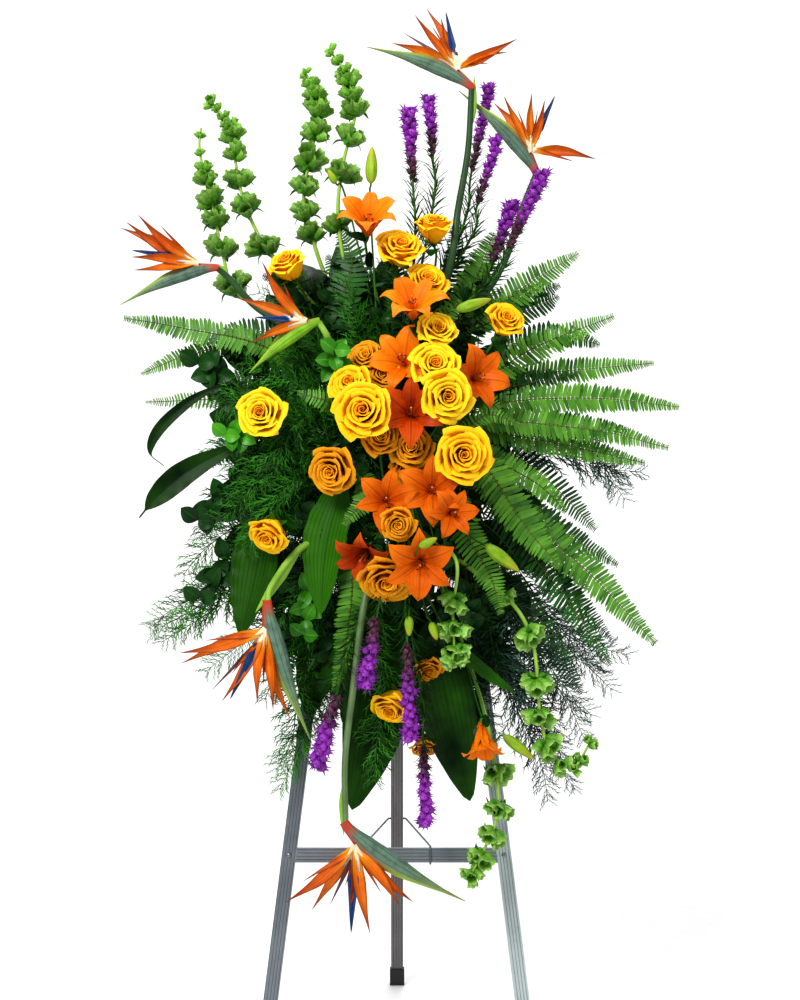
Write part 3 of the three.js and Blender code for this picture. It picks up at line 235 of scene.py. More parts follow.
def shell(growth, grid, thick, tone=0.5, age=0.5, material=0, wrapped=False, edge=0.3):
    """A thin closed leaf or petal on a grid of points: rows run along it and columns across."""
    rows, columns, _ = grid.shape
    down = np.gradient(grid, axis=0)
    if wrapped:
        across = np.roll(grid, -1, axis=1) - np.roll(grid, 1, axis=1)
    else:
        across = np.gradient(grid, axis=1)
    normal = unit_rows(np.cross(across, down))
    half = np.full((rows, columns, 1), thick / 2)
    half[-1] *= edge
    if not wrapped:
        half[0] *= edge
        half[:, 0] *= edge
        half[:, -1] *= edge
    points = np.concatenate(((grid + normal * half).reshape(-1, 3), (grid - normal * half).reshape(-1, 3)))
    top = grid_faces(rows, columns, wrapped)
    total = rows * columns
    index = np.arange(total).reshape(rows, columns)
    if wrapped:
        rims = [index[0], index[-1][::-1]]
        pairs = [(np.roll(rim, -1), rim) for rim in rims]
    else:
        rim = np.concatenate((index[0, :-1], index[:-1, -1], index[-1, :0:-1], index[:0:-1, 0]))
        pairs = [(np.roll(rim, -1), rim)]
    sides = [np.stack((b, a, a + total, b + total), -1) for b, a in pairs]
    faces = np.vstack((top, top[:, ::-1] + total, *sides))
    u, v = np.meshgrid(np.linspace(0, 1, columns), np.linspace(0, 1, rows))
    places = np.tile(np.stack((u, v), -1).reshape(-1, 2), (2, 1))
    spread = [np.tile(np.broadcast_to(value, (rows, columns)).ravel(), 2) for value in (tone, age)]
    growth.add(points, faces, [], places, *spread, material)


def skin(growth, path, radii, sides=6, flat=1.0, first=UP, tone=0.5, age=0.5, material=0, ribs=0.0):
    """A closed round surface along a path, with a radius at each of its points."""
    path = np.asarray(path, float)
    radii = np.broadcast_to(np.asarray(radii, float), len(path))
    turn = np.arange(sides) / sides * 2 * math.pi
    bulge = 1 + ribs * np.cos(turn * sides / 2)
    rings = []
    hint = first
    for point, way, radius in zip(path, ways_along(path), radii):
        side, over, _ = square_to(way, hint)
        hint = side
        ring = np.outer(bulge * np.cos(turn), side) + flat * np.outer(bulge * np.sin(turn), over)
        rings.append(point + radius * ring)
    points = np.vstack((*rings, path[:1], path[-1:]))
    total = len(path) * sides
    ring = np.arange(sides)
    after = (ring + 1) % sides
    last = total - sides
    caps = np.vstack((np.stack((np.full(sides, total), after, ring), -1),
                      np.stack((np.full(sides, total + 1), last + ring, last + after), -1)))
    u, v = np.meshgrid(ring / sides, np.linspace(0, 1, len(path)))
    places = np.vstack((np.stack((u, v), -1).reshape(-1, 2), ((0.5, 0.0), (0.5, 1.0))))
    ages = np.asarray(age, float)
    if ages.ndim:
        ages = np.concatenate((np.repeat(ages, sides), ages[:1], ages[-1:]))
    growth.add(points, grid_faces(len(path), sides, True), caps, places, tone, ages, material)


def spike(growth, foot, tip, radius):
    """A needle: a three-sided point."""
    foot, tip = np.asarray(foot, float), np.asarray(tip, float)
    side, over, _ = square_to(tip - foot, (0.3, 0.5, 0.8))
    turn = np.arange(3) * 2 * math.pi / 3
    ring = foot + radius * (np.outer(np.cos(turn), side) + np.outer(np.sin(turn), over))
    places = np.array(((0, 0), (0.33, 0), (0.67, 0), (0.5, 1.0)))
    growth.add(np.vstack((ring, tip)), [], ((0, 2, 1), (0, 1, 3), (1, 2, 3), (2, 0, 3)), places)


def leaf(growth, spine, widths, face, thick=0.0006, cup=0.1, fold=0.0, columns=7, wave=0.0, pleat=0.0,
         **looks):
    """A blade along a spine. The face is the way its upper side looks; cup lifts the edges, fold
    makes a keel, wave ripples the edges and pleat creases it lengthwise."""
    ways = ways_along(spine)
    sides = unit_rows(np.cross(ways, np.asarray(face, float)))
    overs = np.cross(sides, ways)
    across = np.linspace(-1, 1, columns)
    rows = np.arange(len(spine))
    lift = cup * across[None] ** 2 + fold * np.abs(across[None])
    lift = lift + wave * np.sin(rows[:, None] * 1.3 + across[None] * 2) * np.abs(across[None]) ** 3
    lift = lift + pleat * np.cos(np.arange(columns) * math.pi)[None]
    widths = np.asarray(widths)[:, None]
    grid = (spine[:, None] + (widths * across)[..., None] * sides[:, None]
            + (widths * lift)[..., None] * overs[:, None])
    shell(growth, grid, thick, **looks)


# Materials

BLACK = (0, 0, 0, 1)
SURFACE = (("Colour", "Color"), ("Height", "Float"), ("Roughness", "Float"))


def paint(code):
    """A colour from its hexadecimal code, as the shaders take it."""
    parts = [int(code[i:i + 2], 16) / 255 for i in (0, 2, 4)]
    return (*[p / 12.92 if p <= 0.04045 else ((p + 0.055) / 1.055) ** 2.4 for p in parts], 1)


def wire(tree, kind, inputs=None, **settings):
    """A node with its settings, and its inputs linked where the value is a socket, or else set."""
    node = tree.nodes.new(kind)
    for name, value in settings.items():
        setattr(node, name, value)
    for key, value in (inputs or {}).items():
        if isinstance(value, bpy.types.NodeSocket):
            tree.links.new(value, node.inputs[key])
        else:
            node.inputs[key].default_value = value
    return node


def math_of(tree, operation, *values, clamp=False):
    return wire(tree, "ShaderNodeMath", dict(enumerate(values)), operation=operation,
                use_clamp=clamp).outputs[0]


def product(tree, first, second):
    return math_of(tree, "MULTIPLY", first, second)


def scaled(tree, value, factor, more, clamp=False):
    """The value times the factor, and more added."""
    return math_of(tree, "MULTIPLY_ADD", value, factor, more, clamp=clamp)


def blend_of(tree, factor, first, second, kind="MIX"):
    inputs = {"Factor": factor, 6: first, 7: second}
    return wire(tree, "ShaderNodeMix", inputs, data_type="RGBA", blend_type=kind).outputs[2]


def ramp_of(tree, value, low, high):
    inputs = {"Value": value, "From Min": low, "From Max": high}
    return wire(tree, "ShaderNodeMapRange", inputs, interpolation_type="SMOOTHSTEP").outputs[0]


def wave_of(tree, kind, place, count):
    """A sine or cosine that repeats so many times from 0 to 1."""
    return math_of(tree, kind, product(tree, product(tree, place, count), FULL_WAVE))


def new_group(name, inputs, outputs=SURFACE):
    tree = bpy.data.node_groups.new(name, "ShaderNodeTree")
    for label, kind, start in inputs:
        made = tree.interface.new_socket(name=label, in_out="INPUT", socket_type="NodeSocket" + kind)
        made.default_value = start
    for label, kind in outputs:
        tree.interface.new_socket(name=label, in_out="OUTPUT", socket_type="NodeSocket" + kind)
    return tree, tree.nodes.new("NodeGroupInput").outputs, tree.nodes.new("NodeGroupOutput").inputs


def noise_of(tree, scale, detail=3.0, stretch=None):
    at = wire(tree, "ShaderNodeTexCoord").outputs["Object"]
    if stretch is not None:
        at = wire(tree, "ShaderNodeVectorMath", {0: at, 1: stretch}, operation="MULTIPLY").outputs[0]
    return wire(tree, "ShaderNodeTexNoise", {"Vector": at, "Scale": scale, "Detail": detail}).outputs["Fac"]


def attribute_of(tree, name):
    return wire(tree, "ShaderNodeAttribute", attribute_name=name).outputs["Fac"]


def make_leaf_tones():
    """Two colours by tone and noise, others towards the tip, rim and foot, and veins: straight
    ones counted across the blade, slanted ones counted along it, and a midrib."""
    inputs = (("Shade", "Color", BLACK), ("Light", "Color", BLACK), ("Vein", "Color", BLACK),
              ("Tip", "Color", BLACK), ("Tip share", "Float", 0.0), ("Straight veins", "Float", 0.0),
              ("Slanted veins", "Float", 0.0), ("Vein strength", "Float", 0.3), ("Midrib", "Float", 0.3),
              ("Mottle", "Float", 60.0), ("Dullness", "Float", 0.5), ("Rim", "Color", BLACK),
              ("Rim share", "Float", 0.0), ("Foot", "Color", BLACK), ("Foot share", "Float", 0.0))
    tree, given, result = new_group("leaf tones", inputs)
    place = wire(tree, "ShaderNodeSeparateXYZ", {0: wire(tree, "ShaderNodeUVMap", uv_map="place").outputs[0]})
    u, v = place.outputs[0], place.outputs[1]
    off = math_of(tree, "ABSOLUTE", math_of(tree, "SUBTRACT", u, 0.5))
    tone = attribute_of(tree, "tone")
    mottle = noise_of(tree, given["Mottle"])
    straight = wave_of(tree, "SINE", u, given["Straight veins"])
    slant = math_of(tree, "SUBTRACT", v, product(tree, off, 0.45))
    slanted = wave_of(tree, "SINE", slant, given["Slanted veins"])
    waves = math_of(tree, "MAXIMUM", straight, slanted)
    lines = ramp_of(tree, waves, 0.55, 1.0)
    rib = math_of(tree, "SUBTRACT", 1.0, ramp_of(tree, off, 0.015, 0.05))
    light = scaled(tree, tone, 0.75, scaled(tree, mottle, 0.9, -0.33), clamp=True)
    colour = blend_of(tree, light, given["Shade"], given["Light"])
    # On rose petals the lighter tip colour is painted light on the rims, over painted shade deeper in; on
    # other finishes it is the tip's own colour.
    tip = product(tree, ramp_of(tree, v, 0.45, 1.0), given["Tip share"])
    colour = blend_of(tree, tip, colour, given["Tip"])
    colour = blend_of(tree, product(tree, lines, given["Vein strength"]), colour, given["Vein"])
    colour = blend_of(tree, product(tree, rib, given["Midrib"]), colour, given["Vein"])
    edge = product(tree, ramp_of(tree, off, 0.28, 0.5), given["Rim share"])
    colour = blend_of(tree, edge, colour, given["Rim"])
    # The foot colour is the flames' own yellow base; on lily petals and bell cups it is painted shade where
    # they meet.
    foot = product(tree, math_of(tree, "SUBTRACT", 1.0, ramp_of(tree, v, 0.0, 0.4)), given["Foot share"])
    colour = blend_of(tree, foot, colour, given["Foot"])
    tree.links.new(colour, result["Colour"])
    height = scaled(tree, waves, given["Vein strength"], product(tree, mottle, 0.6))
    tree.links.new(math_of(tree, "SUBTRACT", height, product(tree, rib, given["Midrib"])), result["Height"])
    rough = scaled(tree, math_of(tree, "SUBTRACT", mottle, 0.5), 0.5, given["Dullness"])
    tree.links.new(rough, result["Roughness"])
    return tree


def make_grain():
    """The fine lines of drawn or brushed metal, a little dull between them, and drawn grooves counted per
    metre across the bar, darkened with painted shade."""
    inputs = (("Metal", "Color", BLACK), ("Dull", "Color", BLACK), ("Stretch", "Vector", (1, 1, 1)),
              ("Fineness", "Float", 900.0), ("Across", "Vector", (0, 0, 0)), ("Grooves", "Float", 0.0))
    tree, given, result = new_group("metal grain", inputs)
    lines = noise_of(tree, given["Fineness"], 2.0, given["Stretch"])
    stains = noise_of(tree, 14.0, 4.0)
    share = scaled(tree, stains, 0.8, scaled(tree, lines, 0.6, -0.35), clamp=True)
    at = wire(tree, "ShaderNodeTexCoord").outputs["Object"]
    across = wire(tree, "ShaderNodeVectorMath", {0: at, 1: given["Across"]},
                  operation="DOT_PRODUCT").outputs["Value"]
    waves = wave_of(tree, "COSINE", across, given["Grooves"])
    deep = ramp_of(tree, waves, 0.55, 0.95)
    counted = math_of(tree, "GREATER_THAN", given["Grooves"], 0.5)
    deep = product(tree, deep, counted)
    metal = blend_of(tree, share, given["Dull"], given["Metal"])
    # Painted shade: the metal darkened towards black along the grooves.
    dark = blend_of(tree, 0.55, metal, (0.02, 0.02, 0.022, 1))
    tree.links.new(blend_of(tree, deep, metal, dark), result["Colour"])
    tree.links.new(math_of(tree, "SUBTRACT", product(tree, lines, 0.2), deep), result["Height"])
    tree.links.new(scaled(tree, stains, 0.3, scaled(tree, lines, 0.15, 0.12)), result["Roughness"])
    return tree


def make_pores():
    """Small pits and cloudy patches, as in foam, rubber and moulded plastic."""
    inputs = (("Body", "Color", BLACK), ("Pit", "Color", BLACK), ("Pit size", "Float", 400.0),
              ("Pit share", "Float", 0.5))
    tree, given, result = new_group("pores", inputs)
    at = wire(tree, "ShaderNodeTexCoord").outputs["Object"]
    cells = wire(tree, "ShaderNodeTexVoronoi", {"Vector": at, "Scale": given["Pit size"]}).outputs["Distance"]
    pits = product(tree, math_of(tree, "SUBTRACT", 1.0, ramp_of(tree, cells, 0.1, 0.55)), given["Pit share"])
    clouds = noise_of(tree, 25.0, 4.0)
    share = scaled(tree, clouds, 0.5, scaled(tree, pits, 0.8, -0.2), clamp=True)
    tree.links.new(blend_of(tree, share, given["Body"], given["Pit"]), result["Colour"])
    tree.links.new(math_of(tree, "SUBTRACT", product(tree, clouds, 0.3), pits), result["Height"])
    tree.links.new(scaled(tree, clouds, 0.25, 0.5), result["Roughness"])
    return tree


LEAF_TONES, GRAIN, PORES = make_leaf_tones(), make_grain(), make_pores()


def material(name, group, values, bump=0.2, distance=0.0004, **constants):
    """A material of one shared group, with what is even all over set on the shader itself."""
    made = bpy.data.materials.new(name)
    made.use_nodes = True
    tree = made.node_tree
    shader = tree.nodes["Principled BSDF"]
    look = wire(tree, "ShaderNodeGroup", values, node_tree=group)
    relief = wire(tree, "ShaderNodeBump", {"Strength": bump, "Distance": distance,
                                           "Height": look.outputs["Height"]})
    tree.links.new(look.outputs["Colour"], shader.inputs["Base Color"])
    tree.links.new(look.outputs["Roughness"], shader.inputs["Roughness"])
    tree.links.new(relief.outputs[0], shader.inputs["Normal"])
    for key, value in constants.items():
        shader.inputs[key.replace("_", " ")].default_value = value
    return made


def leafy(name, shade, light, vein, tip=None, tip_share=0.0, straight=0.0, slanted=0.0, strength=0.3,
          midrib=0.3, mottle=60.0, dull=0.5, rim=None, rim_share=0.0, foot=None, foot_share=0.0, **more):
    """A plant's finish: its shade, light and vein colours come first, then that of its tip."""
    more.setdefault("Specular_IOR_Level", 0.25)
    values = {"Shade": paint(shade), "Light": paint(light), "Vein": paint(vein), "Tip": paint(tip or light),
              "Tip share": tip_share, "Rim": paint(rim or vein), "Rim share": rim_share,
              "Foot": paint(foot or shade), "Foot share": foot_share, "Straight veins": straight,
              "Slanted veins": slanted, "Vein strength": strength, "Midrib": midrib, "Mottle": mottle,
              "Dullness": dull}
    return material(name, LEAF_TONES, values, **more)


SATIN = {"straight": 9, "midrib": 0.0, "mottle": 90, "bump": 0.12, "dull": 0.6, "Specular_IOR_Level": 0.12}
WAXEN = {"straight": 7, "mottle": 70, "bump": 0.35, "Specular_IOR_Level": 0.12}
# Each rose finish turns from its shade colour to a lighter tip along the petal: painted shade deep in the
# bloom and painted light on the rims. The heart finish, a deeper amber, is painted shade among the inner
# whorls.
ROSE = leafy("rose_petal", "fca406", "ffc00e", "ea9204", "ffcc20", 0.85, strength=0.10, **SATIN)
SHADED_ROSE_HEART = leafy("rose_heart_painted_shade", "e67e04", "f8a00c", "ce6c04", "fcbe1c", 0.9, strength=0.12, **SATIN)
ROSE_LEMON = leafy("rose_petal_lemon", "f4ac04", "ffd012", "e09a04", "ffdc2c", 0.85, strength=0.10, **SATIN)
ROSE_AMBER = leafy("rose_petal_amber", "b86404", "dc8a0c", "984a02", "eca41c", 0.8, strength=0.15, **SATIN)
# The lily finishes darken towards the petal foot: painted shade in the funnel where the petals overlap.
LILY_LIGHT = leafy("lily_petal_light", "d86404", "f68e0c", "ac4c02", "f28a10", 0.4, strength=0.22,
                   midrib=0.45, foot="c45004", foot_share=0.5, **WAXEN)
LILY = leafy("lily_petal", "b44402", "e07006", "8c2e02", "e07808", 0.4, strength=0.26, midrib=0.5,
             foot="983402", foot_share=0.6, **WAXEN)
LILY_DEEP = leafy("lily_petal_deep", "8a2402", "c84a04", "641602", "d06008", 0.5, strength=0.25, midrib=0.5,
                  foot="5c1402", foot_share=0.7, **WAXEN)
ANTHER = leafy("anther", "3a1508", "6e2c10", "2a0e05", mottle=900, bump=0.6)
FILAMENT = leafy("filament", "b0480a", "e08830", "9c4008", mottle=200)
FLAME = leafy("bird_flame", "b84002", "f0840a", "8c2c02", "6c280a", 0.8, rim="6c2404", rim_share=0.6,
              foot="f4a41c", foot_share=0.8, straight=4, strength=0.35, bump=0.3, dull=0.45)
TONGUE = leafy("bird_tongue", "12264c", "2c5490", "0c1a34", "14284c", 0.5, straight=4, mottle=90, dull=0.4)
THROAT = leafy("bird_throat", "c8bc90", "ece6cc", "a8a48c", "7c86b0", 0.7, mottle=80)
DUSKY = leafy("bird_dusky_blade", "4a2a34", "8c6068", "3a2028", "3c2430", 0.5, straight=4, mottle=90)
STEM = leafy("flower_stem", "234a14", "4c8428", "1c3c10", mottle=30, straight=5, strength=0.15, midrib=0.0)
PALE_STEM = leafy("pale_stem", "6c9c30", "a8cc58", "5a8a28", mottle=30, straight=5, strength=0.2, midrib=0.0)
STALK_GREY = leafy("bird_stalk_grey", "3c5a34", "84a070", "5c3a24", mottle=30, straight=5, strength=0.35,
                   midrib=0.0, dull=0.4)
STALK = leafy("bird_stalk", "1e3a20", "3f6238", "182c18", mottle=24, straight=6, strength=0.2, midrib=0.0,
              dull=0.4)
BUD = leafy("lily_bud", "5c8a14", "a8c434", "4c7a14", "d89c2c", 0.3, straight=6, midrib=0.0)
SEPAL = leafy("sepal", "1f5210", "4a8a24", "1c4a12", slanted=12, strength=0.2)
CUP = {"straight": 6, "slanted": 5, "strength": 0.35, "midrib": 0.0, "mottle": 90, "bump": 0.6, "dull": 0.4}
# The cup finishes darken towards the foot: painted shade deep in each whorl.
BELL = leafy("bell_cup", "286c0c", "8ccc44", "246010", "c4e888", 0.6, foot="1e5a0a", foot_share=0.55, **CUP)
BELL_DEEP = leafy("bell_cup_deep", "1a540c", "7cc038", "1c500c", "b4dc78", 0.55, foot="164a08",
                  foot_share=0.6, **CUP)
PETAL_WHITE = leafy("bell_flower", "e6eedc", "fafcf4", "ccd8c0", mottle=200)
FROND = {"slanted": 16, "mottle": 40, "bump": 0.3, "dull": 0.45}
FERN = leafy("sword_fern", "225610", "68a232", "3a741a", strength=0.25, **FROND)
# A darker copy of the fern finish: painted shade for fronds deep in the spray.
SHADED_FERN = leafy("sword_fern_painted_shade", "0a2e0a", "2a6c1c", "1c5418", strength=0.2, **FROND)
RIB = leafy("fern_rib", "3a3c14", "66682a", "2c3010", midrib=0.0)
# The strong dark stripes are partly the parallel veins and partly painted shade in the leaf's pleats.
BROAD = leafy("broad_leaf", "031a04", "38760a", "042404", straight=11, strength=0.42, mottle=14,
              bump=0.6, dull=0.42, Specular_IOR_Level=0.12)
GLOSSY = leafy("glossy_leaf", "1c5c08", "4a9c1c", "6cb034", slanted=9, strength=0.18, midrib=0.5, mottle=40,
               bump=0.3, dull=0.36)
# A near-black copy of the glossy leaf: painted shade for leaves deep in the spray.
SHADED_GLOSSY = leafy("glossy_leaf_painted_shade", "041804", "164a0c", "1e5c18", slanted=9, strength=0.2, midrib=0.5,
                    mottle=40, bump=0.3, dull=0.42, Specular_IOR_Level=0.2)
PLUME = leafy("asparagus_fern", "0a2c08", "459826", "184a12", mottle=30, midrib=0.0)
PLUME_DUSKY = leafy("asparagus_fern_dusky", "0c221c", "4c7060", "182e28", mottle=30, midrib=0.0)
TWIG = leafy("twig", "14300e", "3a5c20", "102410", midrib=0.0)
GRASS = leafy("grass_leaf", "12300e", "33642a", "102a10", straight=3, mottle=40)


def make_waxy_rim():
    """Red at the neck of a sheath, and along its upper edge red going over to yellow green."""
    inputs = (("Body", "Color", BLACK), ("Neck", "Color", BLACK), ("Near rim", "Color", BLACK),
              ("Far rim", "Color", BLACK))
    tree, given, result = new_group("waxy rim", inputs, (("Colour", "Color"),))
    place = wire(tree, "ShaderNodeSeparateXYZ", {0: wire(tree, "ShaderNodeUVMap", uv_map="place").outputs[0]})
    beside = math_of(tree, "ABSOLUTE", math_of(tree, "SUBTRACT", place.outputs[0], 0.5))
    rim = blend_of(tree, ramp_of(tree, place.outputs[1], 0.25, 0.55), given["Near rim"], given["Far rim"])
    dressed = blend_of(tree, ramp_of(tree, beside, 0.24, 0.42), given["Body"], rim)
    neck = math_of(tree, "SUBTRACT", 1.0, ramp_of(tree, place.outputs[1], 0.01, 0.14))
    tree.links.new(blend_of(tree, neck, dressed, given["Neck"]), result["Colour"])
    return tree


WAXY_RIM = make_waxy_rim()


def sheath_material(name, shade, light, neck):
    """A leafy finish with the waxy rim over its colour."""
    made = leafy(name, shade, light, "20382c", "8ca03c", 0.5, straight=12, strength=0.45, midrib=0.0,
                 mottle=70, bump=0.4, dull=0.4)
    tree = made.node_tree
    shader = tree.nodes["Principled BSDF"]
    body = shader.inputs["Base Color"].links[0].from_socket
    inputs = {"Body": body, "Neck": paint(neck), "Near rim": paint("b03a1c"), "Far rim": paint("9cb42c")}
    rim = wire(tree, "ShaderNodeGroup", inputs, node_tree=WAXY_RIM)
    tree.links.new(rim.outputs["Colour"], shader.inputs["Base Color"])
    return made


def star_material():
    """Florets from dark maroon green buds at age 0 to bright purple at age 1."""
    made = leafy("blazing_star", "440860", "9428b0", "641880", "bc5cd2", 0.6, mottle=500, midrib=0.0,
                 bump=0.4)
    tree = made.node_tree
    shader = tree.nodes["Principled BSDF"]
    look = shader.inputs["Base Color"].links[0].from_socket
    bud = blend_of(tree, attribute_of(tree, "tone"), paint("3a1c24"), paint("6e3c5c"))
    age = ramp_of(tree, attribute_of(tree, "age"), 0.2, 0.58)
    tree.links.new(blend_of(tree, age, bud, look), shader.inputs["Base Color"])
    return made


SHEATH = sheath_material("bird_sheath", "263c32", "7c9c86", "b0402c")
BRIGHT_SHEATH = sheath_material("bird_sheath_bright", "3c8c14", "a4d034", "6c9c24")
STAR = star_material()
BRIGHT, GREY = paint("a6acb2"), paint("767e86")


def bar_metal(name, across, bright=BRIGHT, grey=GREY, stretch=(1, 1, 0.02)):
    """Drawn aluminium with grooves along the bar. Across is the way that the grooves are counted."""
    values = {"Metal": bright, "Dull": grey, "Stretch": stretch, "Across": across, "Grooves": 190.0}
    return material(name, GRAIN, values, bump=0.5, distance=0.0006, Metallic=0.6)


LEFT_METAL = bar_metal("left_leg_aluminium", (1, 0, -LEAN_IN))
# The right leg's aluminium is a lighter copy of the left's: painted light.
LIT_RIGHT_METAL = bar_metal("right_leg_aluminium_painted_light", (1, 0, LEAN_IN), paint("dae4e4"), paint("a8b6b6"))
BAR_METAL = bar_metal("crossbar_aluminium", (0, math.sin(LEAN), math.cos(LEAN)), stretch=(0.02, 1, 1))
# The rear leg's aluminium is a darker copy: painted shade behind and under the spray.
SHADED_REAR_METAL = bar_metal("rear_aluminium_painted_shade", (1, 0, 0), paint("8c8a8a"), paint("5e5c5c"))
STEEL = material("plated_steel", GRAIN, {"Metal": paint("a4aaae"), "Dull": paint("6c7276"),
                                         "Fineness": 300.0}, bump=0.05, Metallic=0.95)
WIRE_STEEL = material("wire_steel", GRAIN, {"Metal": paint("7c8284"), "Dull": paint("4a5052"),
                                            "Stretch": (1, 0.05, 1)}, bump=0.05, Metallic=0.4)


def porous(name, body, pit, size, share=0.5, **more):
    """Rubber, moulded plastic or foam."""
    values = {"Body": paint(body), "Pit": paint(pit), "Pit size": size, "Pit share": share}
    return material(name, PORES, values, **more)


RUBBER = porous("foot_rubber", "1a1a1b", "2a2a2b", 900.0, bump=0.2)
PLASTIC = porous("holder_plastic", "1d4a2a", "163a20", 1200.0, 0.3, bump=0.1)
FOAM = porous("wet_foam", "2c5c38", "17351f", 700.0, 0.9, bump=0.8, distance=0.001)


# Repeats: a small shape set along stems and ribs


def new_tree(name, inputs):
    tree = bpy.data.node_groups.new(name, "GeometryNodeTree")
    tree.interface.new_socket(name="Geometry", in_out="INPUT", socket_type="NodeSocketGeometry")
    for label, kind in inputs:
        tree.interface.new_socket(name=label, in_out="INPUT", socket_type="NodeSocket" + kind)
    tree.interface.new_socket(name="Geometry", in_out="OUTPUT", socket_type="NodeSocketGeometry")
    return tree, tree.nodes.new("NodeGroupInput").outputs, tree.nodes.new("NodeGroupOutput").inputs


def guide_value(tree, name, kind="FLOAT"):
    return wire(tree, "GeometryNodeInputNamedAttribute", {"Name": name}, data_type=kind).outputs["Attribute"]


def drawn(tree, seed, low, high, step):
    """A random number for each copy. The step keeps the draws from one seed apart."""
    inputs = {2: low, 3: high, "Seed": math_of(tree, "ADD", seed, step)}
    return wire(tree, "FunctionNodeRandomValue", inputs, data_type="FLOAT").outputs[1]


def settle(tree, geometries, given, result):
    """Joins what was placed, gives each copy its own tone, and makes it real."""
    joined = wire(tree, "GeometryNodeJoinGeometry")
    for geometry in geometries:
        tree.links.new(geometry, joined.inputs[0])
    tone = drawn(tree, given["Seed"], 0.0, 1.0, 5.0)
    inputs = {"Geometry": joined.outputs[0], "Name": "tone", "Value": tone}
    toned = wire(tree, "GeometryNodeStoreNamedAttribute", inputs, data_type="FLOAT", domain="INSTANCE")
    real = wire(tree, "GeometryNodeRealizeInstances", {0: toned.outputs[0]})
    done = wire(tree, "GeometryNodeSetMaterial", {"Geometry": real.outputs[0], "Material": given["Material"]})
    tree.links.new(done.outputs[0], result[0])


def placed_at(tree, given, shape, rotation, size):
    inputs = {"Points": given["Geometry"], "Instance": shape, "Rotation": rotation, "Scale": size}
    return wire(tree, "GeometryNodeInstanceOnPoints", inputs).outputs[0]


def sized(tree, given, step):
    """The guide's size times the length, a little different for each copy."""
    spread = drawn(tree, given["Seed"], 0.86, 1.12, step)
    size = product(tree, product(tree, guide_value(tree, "size"), given["Length"]), spread)
    return wire(tree, "ShaderNodeCombineXYZ", {0: size, 1: size, 2: size}).outputs[0]


def turned(tree, rotation, axis, angle):
    by = wire(tree, "FunctionNodeAxisAngleToRotation", {"Axis": axis, "Angle": angle}).outputs[0]
    return wire(tree, "FunctionNodeRotateRotation", {0: rotation, 1: by}, rotation_space="LOCAL").outputs[0]


def make_pairs():
    """Leaflets to the left and right of a rib, leaning to its tip, in the plane of the frond."""
    inputs = (("Leaflet", "Object"), ("Length", "Float"), ("Lean", "Float"), ("Jitter", "Float"),
              ("Seed", "Int"), ("Material", "Material"))
    tree, given, result = new_tree("leaflets in pairs", inputs)
    along = {"Vector": guide_value(tree, "along", "FLOAT_VECTOR")}
    to_rib = wire(tree, "FunctionNodeAlignRotationToVector", along, axis="X")
    facing = {"Rotation": to_rib.outputs[0], "Vector": guide_value(tree, "face", "FLOAT_VECTOR")}
    flat = wire(tree, "FunctionNodeAlignRotationToVector", facing, axis="Z", pivot_axis="X")
    shape = wire(tree, "GeometryNodeObjectInfo", {"Object": given["Leaflet"]}).outputs["Geometry"]
    less = product(tree, given["Jitter"], -1.0)
    made = []
    for step, way in ((0.0, 1.0), (1.0, -1.0)):
        swing = scaled(tree, given["Lean"], way, drawn(tree, given["Seed"], less, given["Jitter"], step))
        rotation = turned(tree, flat.outputs[0], (0, 0, 1), swing)
        tip = drawn(tree, given["Seed"], less, given["Jitter"], step + 2)
        rotation = turned(tree, rotation, (0, 1, 0), tip)
        made.append(placed_at(tree, given, shape, rotation, sized(tree, given, step + 7)))
    settle(tree, made, given, result)
    return tree


def make_spiral():
    """Florets, leaves or needles round a stem, each turned on from the last."""
    inputs = (("Floret", "Object"), ("Length", "Float"), ("Lean", "Float"), ("Turn", "Float"),
              ("Jitter", "Float"), ("Seed", "Int"), ("Material", "Material"))
    tree, given, result = new_tree("round a stem", inputs)
    along = {"Vector": guide_value(tree, "along", "FLOAT_VECTOR")}
    upright = wire(tree, "FunctionNodeAlignRotationToVector", along, axis="Z")
    shape = wire(tree, "GeometryNodeObjectInfo", {"Object": given["Floret"]}).outputs["Geometry"]
    less = product(tree, given["Jitter"], -1.0)
    number = wire(tree, "GeometryNodeInputIndex").outputs[0]
    spin = scaled(tree, number, given["Turn"], drawn(tree, given["Seed"], less, given["Jitter"], 1.0))
    rotation = turned(tree, upright.outputs[0], (0, 0, 1), spin)
    lean = math_of(tree, "ADD", given["Lean"], drawn(tree, given["Seed"], less, given["Jitter"], 2.0))
    rotation = turned(tree, rotation, (0, 1, 0), lean)
    settle(tree, [placed_at(tree, given, shape, rotation, sized(tree, given, 7.0))], given, result)
    return tree


PAIRS, SPIRAL = make_pairs(), make_spiral()


